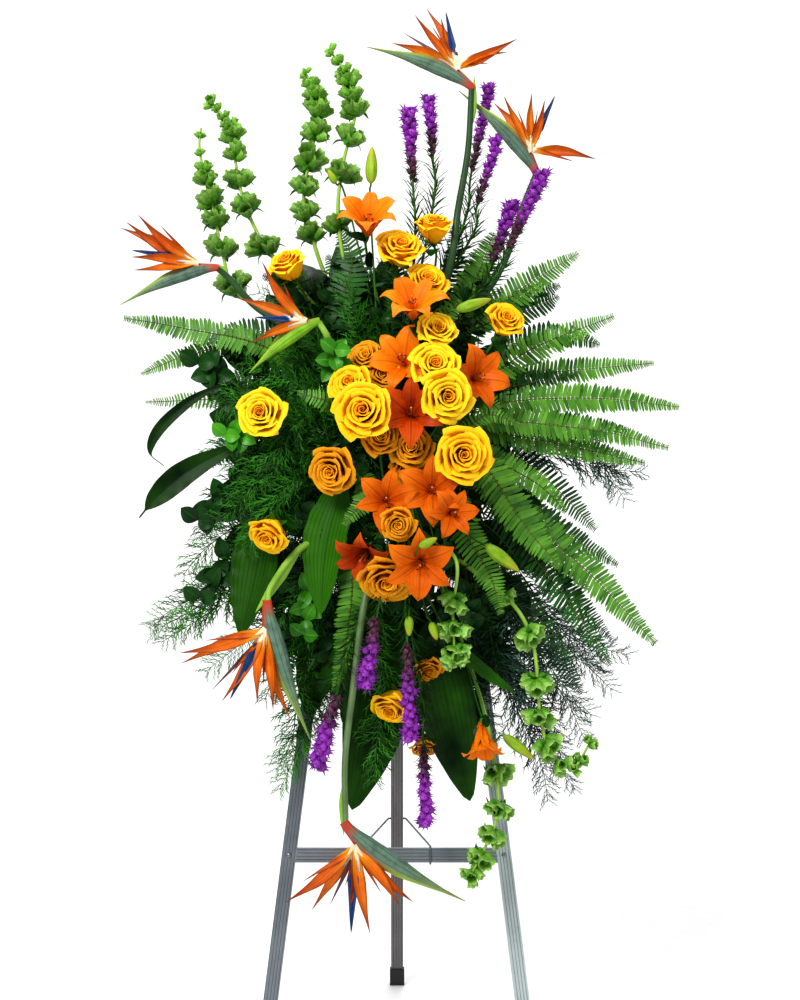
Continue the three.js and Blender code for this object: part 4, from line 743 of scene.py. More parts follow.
class Guide:
    """Points that a repeat stands on, with the way of the stem, the face, a size and an age."""

    def __init__(self):
        self.points, self.along, self.face, self.size, self.age = [], [], [], [], []

    def add(self, points, along, face, size, age=0.5):
        total = len(points)
        self.points.append(points)
        self.along.append(along)
        self.face.append(np.broadcast_to(face, (total, 3)))
        self.size.append(np.broadcast_to(size, total))
        self.age.append(np.broadcast_to(age, total))

    def follow(self, path, step, face, size, age=None):
        """Points at even steps of a path. Size and age are functions of the share of its length."""
        points, share = spaced(path, step)
        self.add(points, ways_along(points) if len(points) > 1 else ways_along(path)[:1], face, size(share),
                 age(share) if age else 0.5)

    def fill(self, path, step, face, size):
        """Points along a path, closer together where the size is small."""
        even, share = spaced(path, step / 6)
        sizes = size(share)
        gap = step * (0.12 + 0.88 * sizes / sizes.max())
        passed = np.cumsum(step / 6 / gap)
        picked = np.nonzero(np.diff(np.floor(passed)))[0]
        self.add(even[picked], ways_along(even)[picked], face, sizes[picked])

    def grown(self, tree, shape, material, **inputs):
        """The repeat as a plain mesh."""
        points = np.vstack(self.points)
        mesh = bpy.data.meshes.new("guide")
        mesh.from_pydata(points.tolist(), [], [])
        for name, values, kind, key in (("along", self.along, "FLOAT_VECTOR", "vector"),
                                        ("face", self.face, "FLOAT_VECTOR", "vector"),
                                        ("size", self.size, "FLOAT", "value"),
                                        ("age", self.age, "FLOAT", "value")):
            flat = np.concatenate([np.asarray(value, float).ravel() for value in values])
            mesh.attributes.new(name, kind, "POINT").data.foreach_set(key, flat.astype(np.float32))
        host = bpy.data.objects.new("guide", mesh)
        bpy.context.scene.collection.objects.link(host)
        modifier = host.modifiers.new("grow", "NODES")
        modifier.node_group = tree
        wanted = {"Leaflet": shape, "Floret": shape, "Material": material, **inputs}
        for item in tree.interface.items_tree:
            if item.in_out == "INPUT" and item.name in wanted:
                modifier[item.identifier] = wanted[item.name]
        host.data.update()
        bpy.context.view_layer.update()
        made = bpy.data.meshes.new_from_object(host.evaluated_get(bpy.context.evaluated_depsgraph_get()))
        host.modifiers.remove(modifier)
        bpy.data.objects.remove(host)
        return made


shapes = []


def shape_of(name, build):
    """A small shape for the repeats, linked to the scene until it is removed."""
    growth = Growth()
    build(growth)
    made = bpy.data.objects.new(name, growth.mesh(name, stored=False))
    bpy.context.scene.collection.objects.link(made)
    shapes.append(made)
    return made


def put(name, growth, materials, nodes, body="stand"):
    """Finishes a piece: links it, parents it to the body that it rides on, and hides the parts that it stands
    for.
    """
    made = bpy.data.objects.new(name, growth.mesh(name, materials))
    bpy.context.scene.collection.objects.link(made)
    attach(made, body)
    if nodes:
        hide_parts(*nodes)


# Places in the foam

FOAM_HALF, FOAM_TALL, FOAM_BACK, FOAM_DEEP, ALONG = 95, 280, -4.6, 75, 1070
MID = FOAM_BACK - FOAM_DEEP / 2 - 4
TOP, SIDE = FOAM_TALL / 2, FOAM_HALF
HUBS = {
    "blooms": ((0, FOAM_BACK - FOAM_DEEP, 0), (0, -1, 0)),
    "birds_top": ((42, MID, TOP), (0.1, 0, 1)),
    "birds_left": ((-SIDE, MID - 12, 112), (-1, -0.2, 0.5)),
    "birds_low": ((-32, MID - 14, -TOP), (-0.1, -0.2, -1)),
    "stars_top": ((8, MID + 6, TOP), (0, 0, 1)),
    "stars_low": ((4, MID - 14, -TOP), (0, -0.2, -1)),
    "bells_top": ((-40, MID, TOP), (-0.3, 0, 1)),
    "bells_low": ((46, MID - 10, -TOP), (0.3, -0.2, -1)),
    "ferns_upper": ((SIDE, MID + 6, 100), (1, 0, 0.3)),
    "ferns_lower": ((SIDE, MID + 6, 20), (1, 0, -0.1)),
    "ferns_left": ((-SIDE, MID + 8, 36), (-1, 0, 0.1)),
    "leaves_left": ((-SIDE, MID + 4, -14), (-1, 0, -0.2)),
    "leaves_low": ((0, MID + 20, -TOP), (0, 0.1, -1)),
    "asparagus_left": ((-SIDE, MID, -108), (-1, 0, -0.3)),
    "asparagus_right": ((SIDE, MID, -108), (1, 0, -0.3)),
    "sprigs": ((-SIDE, MID - 18, 8), (-1, -0.3, 0.2)),
}


def rooted(place, spread=12):
    """A stem's own way into the foam near its bunch: a point inside and one just outside."""
    (sideways, behind, height), way = HUBS[place]
    at = on_frame(sideways, behind, ALONG + height)
    side, over, out = square_to(way)
    at = at + (rng.uniform(-spread, spread) * side + rng.uniform(-spread, spread) * over) / 1000
    return [at - out * 0.026, at + out * 0.014]


def traced(path, depth):
    """The points of a stem in pixels, its depth running evenly from one end to the other."""
    count = max(1, len(path) - 1)
    return [seen(pixel, depth[0] + (depth[1] - depth[0]) * i / count) for i, pixel in enumerate(path)]


# Roses

# Each bloom: its middle in pixels, depth, radius in pixels, and facing
ROSES = {
    "rose_01": [((286, 263), -10, 19, (-0.4, -0.6, 0.7))],
    "rose_02": [((434, 224), 20, 19, (0, -0.45, 0.9))],
    "rose_03": [((401, 248), -12, 24, (0.1, -0.75, 0.65))],
    "rose_04": [((427, 281), -14, 21, (0.3, -0.8, 0.5))],
    "roses_05_08_09": [
        ((437, 330), -50, 21, (0.2, -0.8, 0.5)), ((435, 365), -75, 24, (0.1, -0.95, 0.3)),
        ((447, 396), -92, 26, (0.15, -0.95, -0.1)),
    ],
    "rose_06": [((506, 320), -20, 19, (0.3, -0.8, 0.5))],
    "rose_07": [((261, 413), -30, 24, (-0.15, -0.97, 0.15))],
    "roses_10_11": [((350, 384), -80, 21, (-0.25, -0.9, 0.4)), ((364, 411), -104, 29, (-0.15, -0.97, 0.1))],
    "rose_12": [((463, 455), -100, 28, (0.15, -0.98, 0))],
    "rose_13": [((332, 471), -50, 24, (-0.3, -0.9, -0.2))],
    "roses_14_24": [((383, 376), -40, 18, (0, -0.9, 0.4)), ((366, 356), -34, 17, (-0.2, -0.8, 0.5))],
    "roses_15_16_17": [
        ((381, 436), -72, 19, (-0.1, -0.95, 0.1)), ((411, 447), -62, 22, (0, -0.98, 0.1)),
        ((408, 470), -50, 17, (0, -0.95, -0.3)),
    ],
    "rose_18": [((398, 524), -100, 17, (0, -0.95, -0.25))],
    "rose_19": [((268, 536), -40, 20, (-0.3, -0.7, -0.6))],
    "rose_20": [((387, 578), -70, 28, (0, -0.8, -0.6))],
    "rose_21": [((391, 708), -10, 20, (-0.3, -0.7, -0.6))],
    "rose_22": [((428, 670), 20, 16, (0.2, -0.7, -0.6))],
    "rose_23": [((425, 748), 30, 14, (0.1, -0.6, -0.8))],
}


# Each whorl from the heart out: its petals, how far out and how high they stand, and half their
# width as an angle
WHORLS = ((1, 0.05, 0.30, 3.0), (2, 0.11, 0.33, 1.9), (3, 0.20, 0.35, 1.4), (3, 0.32, 0.33, 1.35),
          (4, 0.46, 0.27, 1.1), (5, 0.63, 0.15, 0.92), (5, 0.82, -0.02, 0.86))
CUPPED_ROSES = ("rose_01", "rose_02", "rose_06", "rose_19", "rose_21")
LEMON_ROSES = ("rose_07", "roses_05_08_09")
AMBER_ROSES = ("rose_13", "roses_14_24", "roses_15_16_17", "rose_18", "rose_20", "rose_22", "rose_23")


def rose(growth, centre, axis, radius, cupped):
    """Petals in whorls from a tight upright heart to wide outer ones whose rims roll outwards."""
    side, over, axis = square_to(axis, FORWARD + UP * 0.3)
    start = rng.uniform(0, ANY_ANGLE)
    u = np.linspace(-1, 1, 7)[None]
    v = np.array((0, 0.25, 0.5, 0.7, 0.8, 0.9, 1))[:, None]
    body, rim = np.minimum(v / 0.7, 1), np.clip((v - 0.7) / 0.3, 0, 1)
    for ring, (count, top_out, top_up, half) in enumerate(WHORLS):
        age = ring / (len(WHORLS) - 1)
        for k in range(count):
            angle = start + ring * 0.9 + (k + rng.uniform(-0.14, 0.14)) * 2 * math.pi / count
            far, high = top_out * rng.uniform(0.9, 1.06), top_up + rng.uniform(-0.05, 0.05)
            low_out, low_up = 0.03 + 0.22 * age, -1.0 if cupped else -0.8
            waist = 1.1 - (0.05 if cupped else 0.36) * age
            foot, middle, top = (1 - body) ** 2, 2 * body * (1 - body), body ** 2
            out = foot * low_out + middle * far * waist + top * far
            height = foot * low_up + middle * (-0.35 + 0.25 * (1 - age)) + top * high
            point = np.exp(-(u / 0.3) ** 2)
            bend = rim * (0.8 + 1.7 * age) * (1 - 0.3 * point) * rng.uniform(0.85, 1.1)
            roll = (0.035 + 0.095 * age) * (1 + 0.25 * u ** 2 + 0.25 * point)
            out = out + roll * (1 - np.cos(bend))
            ripple = (0.01 + 0.022 * age) * np.sin(5 * u + 2.3 * k + start) * v
            height = height + roll * np.sin(bend) - 0.12 * np.abs(u) ** 2.5 * body + ripple
            width = half * (0.5 + 0.5 * np.sin(body * math.pi / 2)) * (1 - 0.2 * rim ** 2)
            out = out + (0.02 + 0.045 * age) * u
            turn = angle + u * width
            grid = centre + radius * ((out * np.cos(turn))[..., None] * side
                                      + (out * np.sin(turn))[..., None] * over + height[..., None] * axis)
            # Inner whorls take the heart finish and a lower tone, outer ones a higher tone: painted shade
            # deep in the bloom.
            shell(growth, grid, 0.0006, tone=0.25 + 0.5 * age + rng.uniform(-0.2, 0.25), age=age,
                  material=1 if age < 0.45 else 0)


def make_roses():
    for node, blooms in ROSES.items():
        growth = Growth()
        for at, depth, radius, faces in blooms:
            rose(growth, seen(at, depth), faces, radius * scale_at(depth), node in CUPPED_ROSES)
        petals = ROSE_AMBER if node in AMBER_ROSES else ROSE_LEMON if node in LEMON_ROSES else ROSE
        put(node.replace("rose", "blooming_rose"), growth, (petals, SHADED_ROSE_HEART), (node,))


# Lilies

# Each bloom: its middle, depth, radius, facing, a petal's tip, how closed and how upright it is
LILIES = {
    "lily_01": [((368, 222), -10, 34, (0, -0.74, 0.67), (369, 186), 0, 0.55)],
    "lily_02": [((413, 305), -60, 36, (0, -0.7, 0.7), (382, 300), 0, 0.3)],
    "lily_03": [((403, 360), -46, 37, (-0.2, -0.92, 0.3), (374, 327), 0, 0.15)],
    "lily_04": [((478, 377), -42, 35, (0.35, -0.88, 0.1), (508, 346), 0, 0.15)],
    "lily_05": [((411, 412), -82, 37, (0, -0.97, 0.2), (409, 379), 0, 0.1)],
    "lilies_06_07_08": [
        ((386, 500), -84, 33, (0, -0.97, 0.1), (393, 464), 0, 0.15),
        ((432, 490), -84, 37, (0, -0.97, 0.1), (431, 451), 0, 0.1),
        ((453, 513), -98, 27, (0.2, -0.95, 0), (463, 491), 0, 0.1),
    ],
    "lily_09": [((420, 564), -104, 38, (0, -0.95, -0.2), (420, 520), 0, 0.1)],
    "lily_10": [((364, 555), -58, 33, (-0.3, -0.75, -0.55), (334, 573), 0, 0.25)],
    "lily_11": [((482, 736), -24, 29, (0.08, -0.42, -0.9), (500, 746), 0.12, 0.7)],
}
DEEP_LILIES = ("lily_05", "lily_10")
LIGHT_LILIES = ("lily_01", "lily_02", "lily_03", "lily_11")


def lily(growth, centre, axis, first, radius, closed, rise):
    """Six petals out of a funnel, three wide and three narrow, round stamens and a style."""
    side, over, axis = square_to(axis, first)
    v = np.linspace(0, 1, 16)
    shape = np.interp(v, (0, 0.12, 0.3, 0.46, 0.6, 0.74, 0.87, 1),
                      (0.2, 0.45, 0.84, 1, 0.93, 0.66, 0.3, 0.02))
    for k in range(6):
        angle = k * math.pi / 3 + rng.uniform(-0.06, 0.06)
        way = side * math.cos(angle) + over * math.sin(angle)
        inner = k % 2
        reach = (1.0 if inner else 0.97) * (1 - closed) * (1 - 0.12 * rise) * rng.uniform(0.95, 1.03)
        stations = np.array(((0.02, -0.5), (0.10, -0.32), (0.28, -0.10), (0.54, 0.09), (0.82, 0.13),
                             (1.02, -0.05)))
        profile = smooth(np.column_stack((stations * (reach, 1), np.zeros(6))), len(v))
        lifted = profile[:, 1] + (closed * 0.7 + rise * 0.75) * v ** 0.8 + (0.03 if inner else 0)
        swing = np.cross(axis, way) * rng.uniform(-0.08, 0.08) * radius
        spine = centre + radius * (profile[:, :1] * way + lifted[:, None] * axis) + swing * (v ** 2)[:, None]
        widths = radius * (0.34 if inner else 0.26) * shape * (1 - 0.3 * closed)
        leaf(growth, spine, widths, axis + 0.15 * way, thick=0.001, cup=0.25, fold=-0.2, columns=9, wave=0.09,
             tone=rng.uniform(0.15, 0.9), age=v[:, None])
    for k in range(6):
        angle = (k + 0.5) * math.pi / 3
        way = side * math.cos(angle) + over * math.sin(angle)
        foot = centre - axis * radius * 0.4
        end = centre + radius * (rng.uniform(0.07, 0.14) * way * (1 - closed) + axis * rng.uniform(0.05, 0.2))
        path = smooth((foot, (foot + end) / 2 - way * radius * 0.02, end), 6)
        skin(growth, path, 0.0006, 5, material=1)
        lying = unit(np.cross(way, axis) + rng.uniform(-0.6, 0.6) * axis + rng.uniform(-0.5, 0.5) * way)
        pollen = smooth((end - lying * 0.003, end, end + lying * 0.003), 5)
        skin(growth, pollen, (0.0004, 0.001, 0.0012, 0.001, 0.0004), 6, material=2, tone=0.4)
    tip = centre + axis * radius * 0.3 + side * radius * 0.04
    style = smooth((centre - axis * radius * 0.4, centre, tip), 6)
    skin(growth, style, (0.001, 0.0008, 0.0008, 0.0008, 0.001, 0.0017), 6, material=1, tone=0.7)


def make_lilies():
    for node, blooms in LILIES.items():
        growth = Growth()
        for at, depth, radius, faces, point, closed, rise in blooms:
            centre = seen(at, depth)
            first = seen(point, depth) - centre
            lily(growth, centre, faces, first, radius * scale_at(depth) * 1.03, closed, rise)
        petals = LILY_DEEP if node in DEEP_LILIES else LILY_LIGHT if node in LIGHT_LILIES else LILY
        put(node.replace("lil", "open_lil"), growth, (petals, FILAMENT, ANTHER), (node,))


# The stems of the blooms, with sepals, leaves and the lily buds: each bud's foot, tip, depth and
# half width

BUDS = (((371, 184), (372, 147), -10, 5.5), ((456, 310), (491, 299), -70, 5),
        ((419, 547), (437, 538), -128, 4), ((485, 545), (519, 571), -60, 6),
        ((409, 616), (409, 636), -60, 4.5), ((431, 622), (437, 640), -50, 4.5),
        ((503, 735), (534, 759), -10, 5), ((336, 184), (328, 170), 0, 3.5))


def bloom_stem(growth, end, faces, radius, back):
    """A stem from the foam that comes up behind a bloom."""
    inside, start = rooted("blooms", 34)
    far = min(0.06, 0.3 * np.linalg.norm(end - start))
    path = smooth((inside, start, end - faces * (far + back), end - faces * back), 18)
    skin(growth, path, np.linspace(radius, radius * 0.8, 18), 7, tone=rng.uniform(0.2, 0.9))
    return path


def stem_leaves(growth, path, count, length, width):
    """Pointed leaves along the outer half of a stem."""
    for share in np.linspace(0.55, 0.9, count):
        k = int(share * (len(path) - 1))
        way = ways_along(path)[k]
        side, over, _ = square_to(way)
        angle = rng.uniform(0, ANY_ANGLE)
        out = side * math.cos(angle) + over * math.sin(angle)
        tip = path[k] + (way * 0.55 + out * 0.85) * length * rng.uniform(0.8, 1.2)
        spine = smooth((path[k], path[k] + (way + out) * length * 0.35, tip), 9)
        v = np.linspace(0, 1, 9)
        widths = width * (0.06 + np.sin(math.pi * v ** 0.8) ** 0.9)
        leaf(growth, spine, widths, way, cup=0.15, columns=5, tone=rng.uniform(0, 1), material=1)


def make_bloom_stems():
    growth = Growth()
    for node, blooms in ROSES.items():
        deep = 1.0 if node in CUPPED_ROSES else 0.8
        for at, depth, radius, faces in blooms:
            faces = unit(faces)
            size = radius * scale_at(depth)
            centre = seen(at, depth)
            path = bloom_stem(growth, centre, faces, 0.0024, (deep - 0.02) * size)
            hip = centre - faces * deep * size
            swollen = [hip + faces * up for up in (-0.008, -0.005, 0, 0.004)]
            skin(growth, swollen, (0.0015, 0.0055, 0.0065, 0.003), 10, material=2)
            side, over, _ = square_to(faces)
            for k in range(5):
                out = side * math.cos(k * FIFTH_TURN) + over * math.sin(k * FIFTH_TURN)
                half_way = hip + out * size * 0.4 + faces * size * 0.04
                spine = smooth((hip, half_way, hip + out * size * 0.85 + faces * size * 0.1), 8)
                widths = 0.005 * (0.08 + np.sin(math.pi * np.linspace(0, 1, 8) ** 0.7))
                leaf(growth, spine, widths, faces, cup=0.2, columns=5, material=2, tone=rng.uniform(0, 1))
            stem_leaves(growth, path, 2, 0.04, 0.013)
    for blooms in LILIES.values():
        for at, depth, radius, faces, *_ in blooms:
            size = radius * scale_at(depth)
            path = bloom_stem(growth, seen(at, depth), unit(faces), 0.0027, 0.46 * size)
            stem_leaves(growth, path, 4, 0.05, 0.007)
    for base, tip, depth, half in BUDS:
        low, high = seen(base, depth), seen(tip, depth - 5)
        way = unit(high - low)
        bloom_stem(growth, low, unit(way + FORWARD * (4 if depth < -100 else 0.8)), 0.0019, -0.002)
        v = np.linspace(0, 1, 12)
        radii = half * scale_at(depth) * (0.12 + 0.95 * np.sin(math.pi * v ** 0.75) ** 0.7)
        skin(growth, low + (high - low) * v[:, None], radii, 12, material=3, tone=rng.uniform(0.3, 0.9),
             ribs=0.06)
    put("bloom_stem_bunch", growth, (STEM, SHADED_GLOSSY, SEPAL, BUD), ("bloom_stems",))


# Birds of paradise

# Each bird: its bunch, the stalk, depth, neck, throat, beak, tongue and flame tips, in pixels
BIRDS = {
    "one": ("birds_top", [(449, 270), (458, 210), (468, 150)], 10, (473, 89), (455, 65), (367, 47),
            (446, 12), [(415, 15), (427, 9), (441, 18), (517, 39), (507, 52), (392, 43)]),
    "two": ("birds_top", [(480, 300), (505, 260), (520, 215)], 40, (537, 175), (530, 147), (459, 91),
            (555, 96), [(504, 96), (494, 103), (532, 93), (545, 100), (596, 159)]),
    "three": ("birds_left", [(290, 330), (255, 306), (231, 280)], 0, (219, 268), (194, 262), (120, 305),
              (132, 250), [(138, 215), (121, 228), (126, 222), (131, 257), (134, 270)]),
    "four": ("birds_left", [(330, 345)], -60, (320, 321), (301, 321), (249, 373), (255, 317),
             [(262, 262), (237, 298), (262, 335), (252, 343)]),
    "five": ("birds_low", [(345, 530), (301, 548), (272, 585)], -60, (267, 600), (265, 634), (310, 739),
             (230, 699), [(180, 653), (182, 663), (222, 701), (257, 703), (273, 710), (290, 719)]),
    "six": ("birds_low", [(365, 600), (353, 690), (345, 761)], -40, (344, 822), (356, 850), (465, 901),
            (351, 933), [(286, 902), (312, 910), (349, 911), (370, 933), (400, 906), (413, 902)]),
}
HUSK_TIP = (256, 612)  # of the wide husk on bird five
FAN = (-42, 16, -14, -30, -24, -8)     # how far behind the throat each flame ends
DUSKY_TIPS = {"one": (404, 33), "two": (511, 112), "three": (140, 236), "five": (212, 690), "six": (330, 905)}


def bird_sheath(growth, bird, look):
    """The stalk with a husk, and the boat that the flames stand in: it ends in a long beak. The
    look is 1 for most, 2 where the stalk is pale and comes from behind, 3 where all is bright."""
    hub, stem, depth, neck, throat, beak, _, _ = bird
    start, nape, end = seen(neck, depth), seen(throat, depth), seen(beak, depth - 12)
    count = len(stem)
    behind = (110, 60, 12) if look == 2 else (18, 12, 6)
    points = [seen(pixel, depth + deeper) for pixel, deeper in zip(stem, behind)]
    way = end - start
    length = np.linalg.norm(way)
    upper = nape - start
    upper = upper - way * np.dot(upper, way) / length ** 2
    v = np.linspace(0, 1, 34)
    spine = start + way * v[:, None] + upper * (0.5 * np.sin(math.pi * v ** 0.75))[:, None]
    swelling = np.interp(v, (0, 0.08, 0.2, 0.34, 0.5, 0.68, 0.84, 1),
                         (0.034, 0.042, 0.066, 0.076, 0.066, 0.036, 0.014, 0.003))
    bulk, finish = (1.25, 3) if look == 3 else (1, 1)
    skin(growth, spine, length * swelling * bulk, 14, flat=0.75, first=upper, material=finish, tone=0.5)
    stalk = smooth((*rooted(hub), *points, start + way * 0.015), 12 * (count + 3))
    slim = 0.0064 - 0.0018 * np.linspace(0, 1, len(stalk)) ** 2
    skin(growth, stalk, slim, 12, first=-FORWARD, material=2 if look >= 2 else 0, tone=0.4)
    if look != 3 and count > 1:
        v = np.linspace(0, 1, 20)
        if look == 2:
            tip = seen(HUSK_TIP, depth - 4)
            husk, half = points[1] + (tip - points[1]) * v[:, None], 0.0085
            husk += FORWARD * (0.008 * np.sin(math.pi * np.minimum(v * 1.3, 1) / 2))[:, None]
        else:
            rising = start - points[-1]
            husk, half = points[-1] + rising * (0.35 + 0.87 * v)[:, None], 0.0042
            husk += np.cross(unit(rising), FORWARD) * (0.0045 * np.sin(math.pi * v ** 0.7))[:, None]
        widths = half * np.interp(v, (0, 0.4, 0.7, 1), (0.3, 1, 0.8, 0.04))
        leaf(growth, husk, widths, FORWARD, thick=0.0012, cup=-0.5, columns=7, material=2, tone=0.3)


def bird_flames(growth, bird, dusky):
    """The flames with thin ones beside them, a dusky one, the tongue, and the pale throat."""
    _, _, depth, neck, throat, _, tongue, flames = bird
    root = seen(throat, depth - 8)
    inward = unit(seen(neck, depth) - root) * 0.008
    v = np.linspace(0, 1, 18)
    blade = np.interp(v, (0, 0.1, 0.25, 0.4, 0.58, 0.75, 0.9, 1), (0.3, 0.5, 0.88, 1, 0.78, 0.4, 0.14, 0.02))
    for i, pixel in enumerate(flames):
        tip = seen(pixel, depth + FAN[i % len(FAN)])
        way = tip - root
        length = np.linalg.norm(way)
        bow = np.cross(way, FORWARD) * (0.035 if i % 2 else -0.035)
        spine = smooth((root + inward * 0.8, root + way * 0.5 + bow, tip), len(v))
        facing = FORWARD + np.cross(way, FORWARD) / length * rng.choice((-0.45, 0.45))
        leaf(growth, spine, (length * 0.066 + 0.002) * blade, facing, thick=0.0016, fold=0.4, cup=0.1,
             columns=9, tone=rng.uniform(0.2, 0.95))
        if i % 2 == 0:
            beside = np.cross(unit(way), FORWARD) * 0.006
            thin = smooth((root, root + way * 0.35 + beside,
                           root + way * rng.uniform(0.6, 0.75) + beside * 1.8), 12)
            widths = length * 0.034 * np.interp(np.linspace(0, 1, 12), (0, 0.3, 1), (0.5, 1, 0.03))
            leaf(growth, thin, widths, facing, thick=0.0012, fold=0.4, columns=5, tone=0.1)
    if dusky:
        way = seen(dusky, depth + 4) - root
        thin = smooth((root, root + way * 0.5, root + way), 14)
        widths = 0.0036 * np.interp(np.linspace(0, 1, 14), (0, 0.4, 1), (0.6, 1, 0.05))
        leaf(growth, thin, widths, FORWARD, thick=0.0012, fold=0.3, columns=5, material=3)
    way = seen(tongue, depth - 14) - root
    spine = smooth((root, root + way * 0.5, root + way), 20)
    v = np.linspace(0, 1, 20)
    arrow = np.interp(v, (0, 0.24, 0.29, 0.36, 0.6, 0.85, 1), (0.2, 0.2, 0.9, 1.15, 0.75, 0.35, 0.03))
    leaf(growth, spine, np.linalg.norm(way) * 0.062 * arrow, FORWARD + np.cross(way, FORWARD) * 2,
         thick=0.0026, fold=0.6, columns=7, material=1)
    foot = smooth((root + inward, root + way * 0.13, root + way * 0.27), 8)
    skin(growth, foot, np.linspace(0.005, 0.0018, 8), 8, material=2)
    side = np.cross(unit(way), FORWARD) * 0.004
    lobe = smooth((root + way * 0.16 + side, root + way * 0.24 + side * 1.6), 5)
    skin(growth, lobe, (0.001, 0.0026, 0.003, 0.0022, 0.0006), 7, material=1)
    mean = unit(sum(unit(seen(pixel, depth) - root) for pixel in (*flames, tongue)))
    heart = smooth((root + inward, root + mean * 0.012, root + mean * 0.029), 9)
    skin(growth, heart, (0.003, 0.006, 0.0078, 0.0086, 0.0086, 0.0076, 0.006, 0.004, 0.001), 10,
         flat=0.6, first=np.cross(mean, FORWARD), material=2, tone=0.9)
    for i, pixel in enumerate(flames):
        way = seen(pixel, depth + FAN[i % len(FAN)] - 4) - root
        foot = smooth((root + inward, root + way * 0.1, root + way * (0.27 if i % 2 else 0.18)), 6)
        skin(growth, foot, np.linspace(0.0056, 0.0014, 6), 8, flat=0.7, material=2)


def make_birds():
    places = {"birds_top": "bird_stems_top", "birds_left": "bird_stems_left", "birds_low": "bird_stems_low"}
    for hub, node in places.items():
        growth = Growth()
        for name, bird in BIRDS.items():
            if bird[0] == hub:
                bird_sheath(growth, bird, {"four": 3, "five": 2}.get(name, 1))
        stalk = STALK_GREY if hub == "birds_low" else STALK
        put(node.replace("stems", "sheaths"), growth, (stalk, SHEATH, PALE_STEM, BRIGHT_SHEATH), (node,))
    for name, bird in BIRDS.items():
        growth = Growth()
        bird_flames(growth, bird, DUSKY_TIPS.get(name))
        put(f"bird_fan_{name}", growth, (FLAME, TONGUE, THROAT, DUSKY), (f"bird_flames_{name}",))


# Blazing stars

# Each spike: a point of its stem, the foot and the tip of what blooms, its width and its depth
STARS = {
    "top": [
        ((415, 240), (413, 185), (409, 110), 17, 40), ((433, 205), (433, 160), (429, 97), 15, 70),
        ((462, 229), (471, 175), (490, 85), 14, 75), ((470, 240), (477, 206), (498, 137), 14, 50),
        ((492, 280), (507, 252), (543, 173), 17, 5), ((478, 295), (491, 265), (513, 202), 17, 60),
    ],
    "low": [
        ((386, 560), (377, 614), (365, 685), 19, -50), ((352, 640), (337, 692), (317, 765), 20, -25),
        ((405, 600), (407, 637), (410, 738), 18, -45), ((421, 690), (423, 740), (426, 825), 17, -5),
    ],
}


def floret(growth):
    """A round knob with a few threads standing out of it, one unit long."""
    v = np.linspace(0, 1, 5)
    skin(growth, np.outer(v, (0, 0, 0.8)), 0.46 * np.sin(math.pi * (0.1 + 0.82 * v ** 0.9)), 6, ribs=0.1)
    for k in range(5):
        angle = k * 2 * math.pi / 5
        out = np.array((math.cos(angle), math.sin(angle), 0))
        spike(growth, out * 0.12 + (0, 0, 0.6), out * 0.5 + (0, 0, 1.12), 0.1)


def grass_blade(growth):
    v = np.linspace(0, 1, 4)
    spine = np.column_stack((0.12 * v ** 2, np.zeros(4), v))
    leaf(growth, spine, 0.04 * (0.2 + np.sin(math.pi * v ** 0.7)), (1, 0, 0), thick=0.03, cup=0.2, columns=3)


def make_stars():
    knob, blade = shape_of("floret", floret), shape_of("grass blade", grass_blade)
    for place, stars in STARS.items():
        growth, florets, blades = Growth(), Guide(), Guide()
        for stem, base, tip, wide, depth in stars:
            points = [seen(pixel, depth + 8 - 8 * i) for i, pixel in enumerate((stem, base, tip))]
            path = smooth((*rooted(f"stars_{place}"), *points), 60)
            skin(growth, path, np.linspace(0.0028, 0.0018, 60), 7, tone=0.5)
            bloomed = path[45:]
            half = wide / 2 * scale_at(depth)
            florets.follow(bloomed, 0.0033, UP,
                           lambda t: half * np.minimum(0.7 + 0.5 * t, 1.08 + 3 * (1 - t)), lambda t: t)
            blades.follow(path[24:50], 0.0026, UP, lambda t: 0.046 * (1 - 0.5 * t))
        growth.take(florets.grown(SPIRAL, knob, STAR, Length=1.1, Lean=1.15, Turn=GOLDEN_TURN, Jitter=0.3,
                                  Seed=11), 1)
        growth.take(blades.grown(SPIRAL, blade, GRASS, Length=1.0, Lean=0.7, Turn=GOLDEN_TURN, Jitter=0.25,
                                 Seed=12), 2)
        put(f"blazing_star_spikes_{place}", growth, (STEM, STAR, GRASS), (f"blazing_stars_{place}",))


# Bells of Ireland: each stem's pixels and depths, and its whorls' pixels and radii

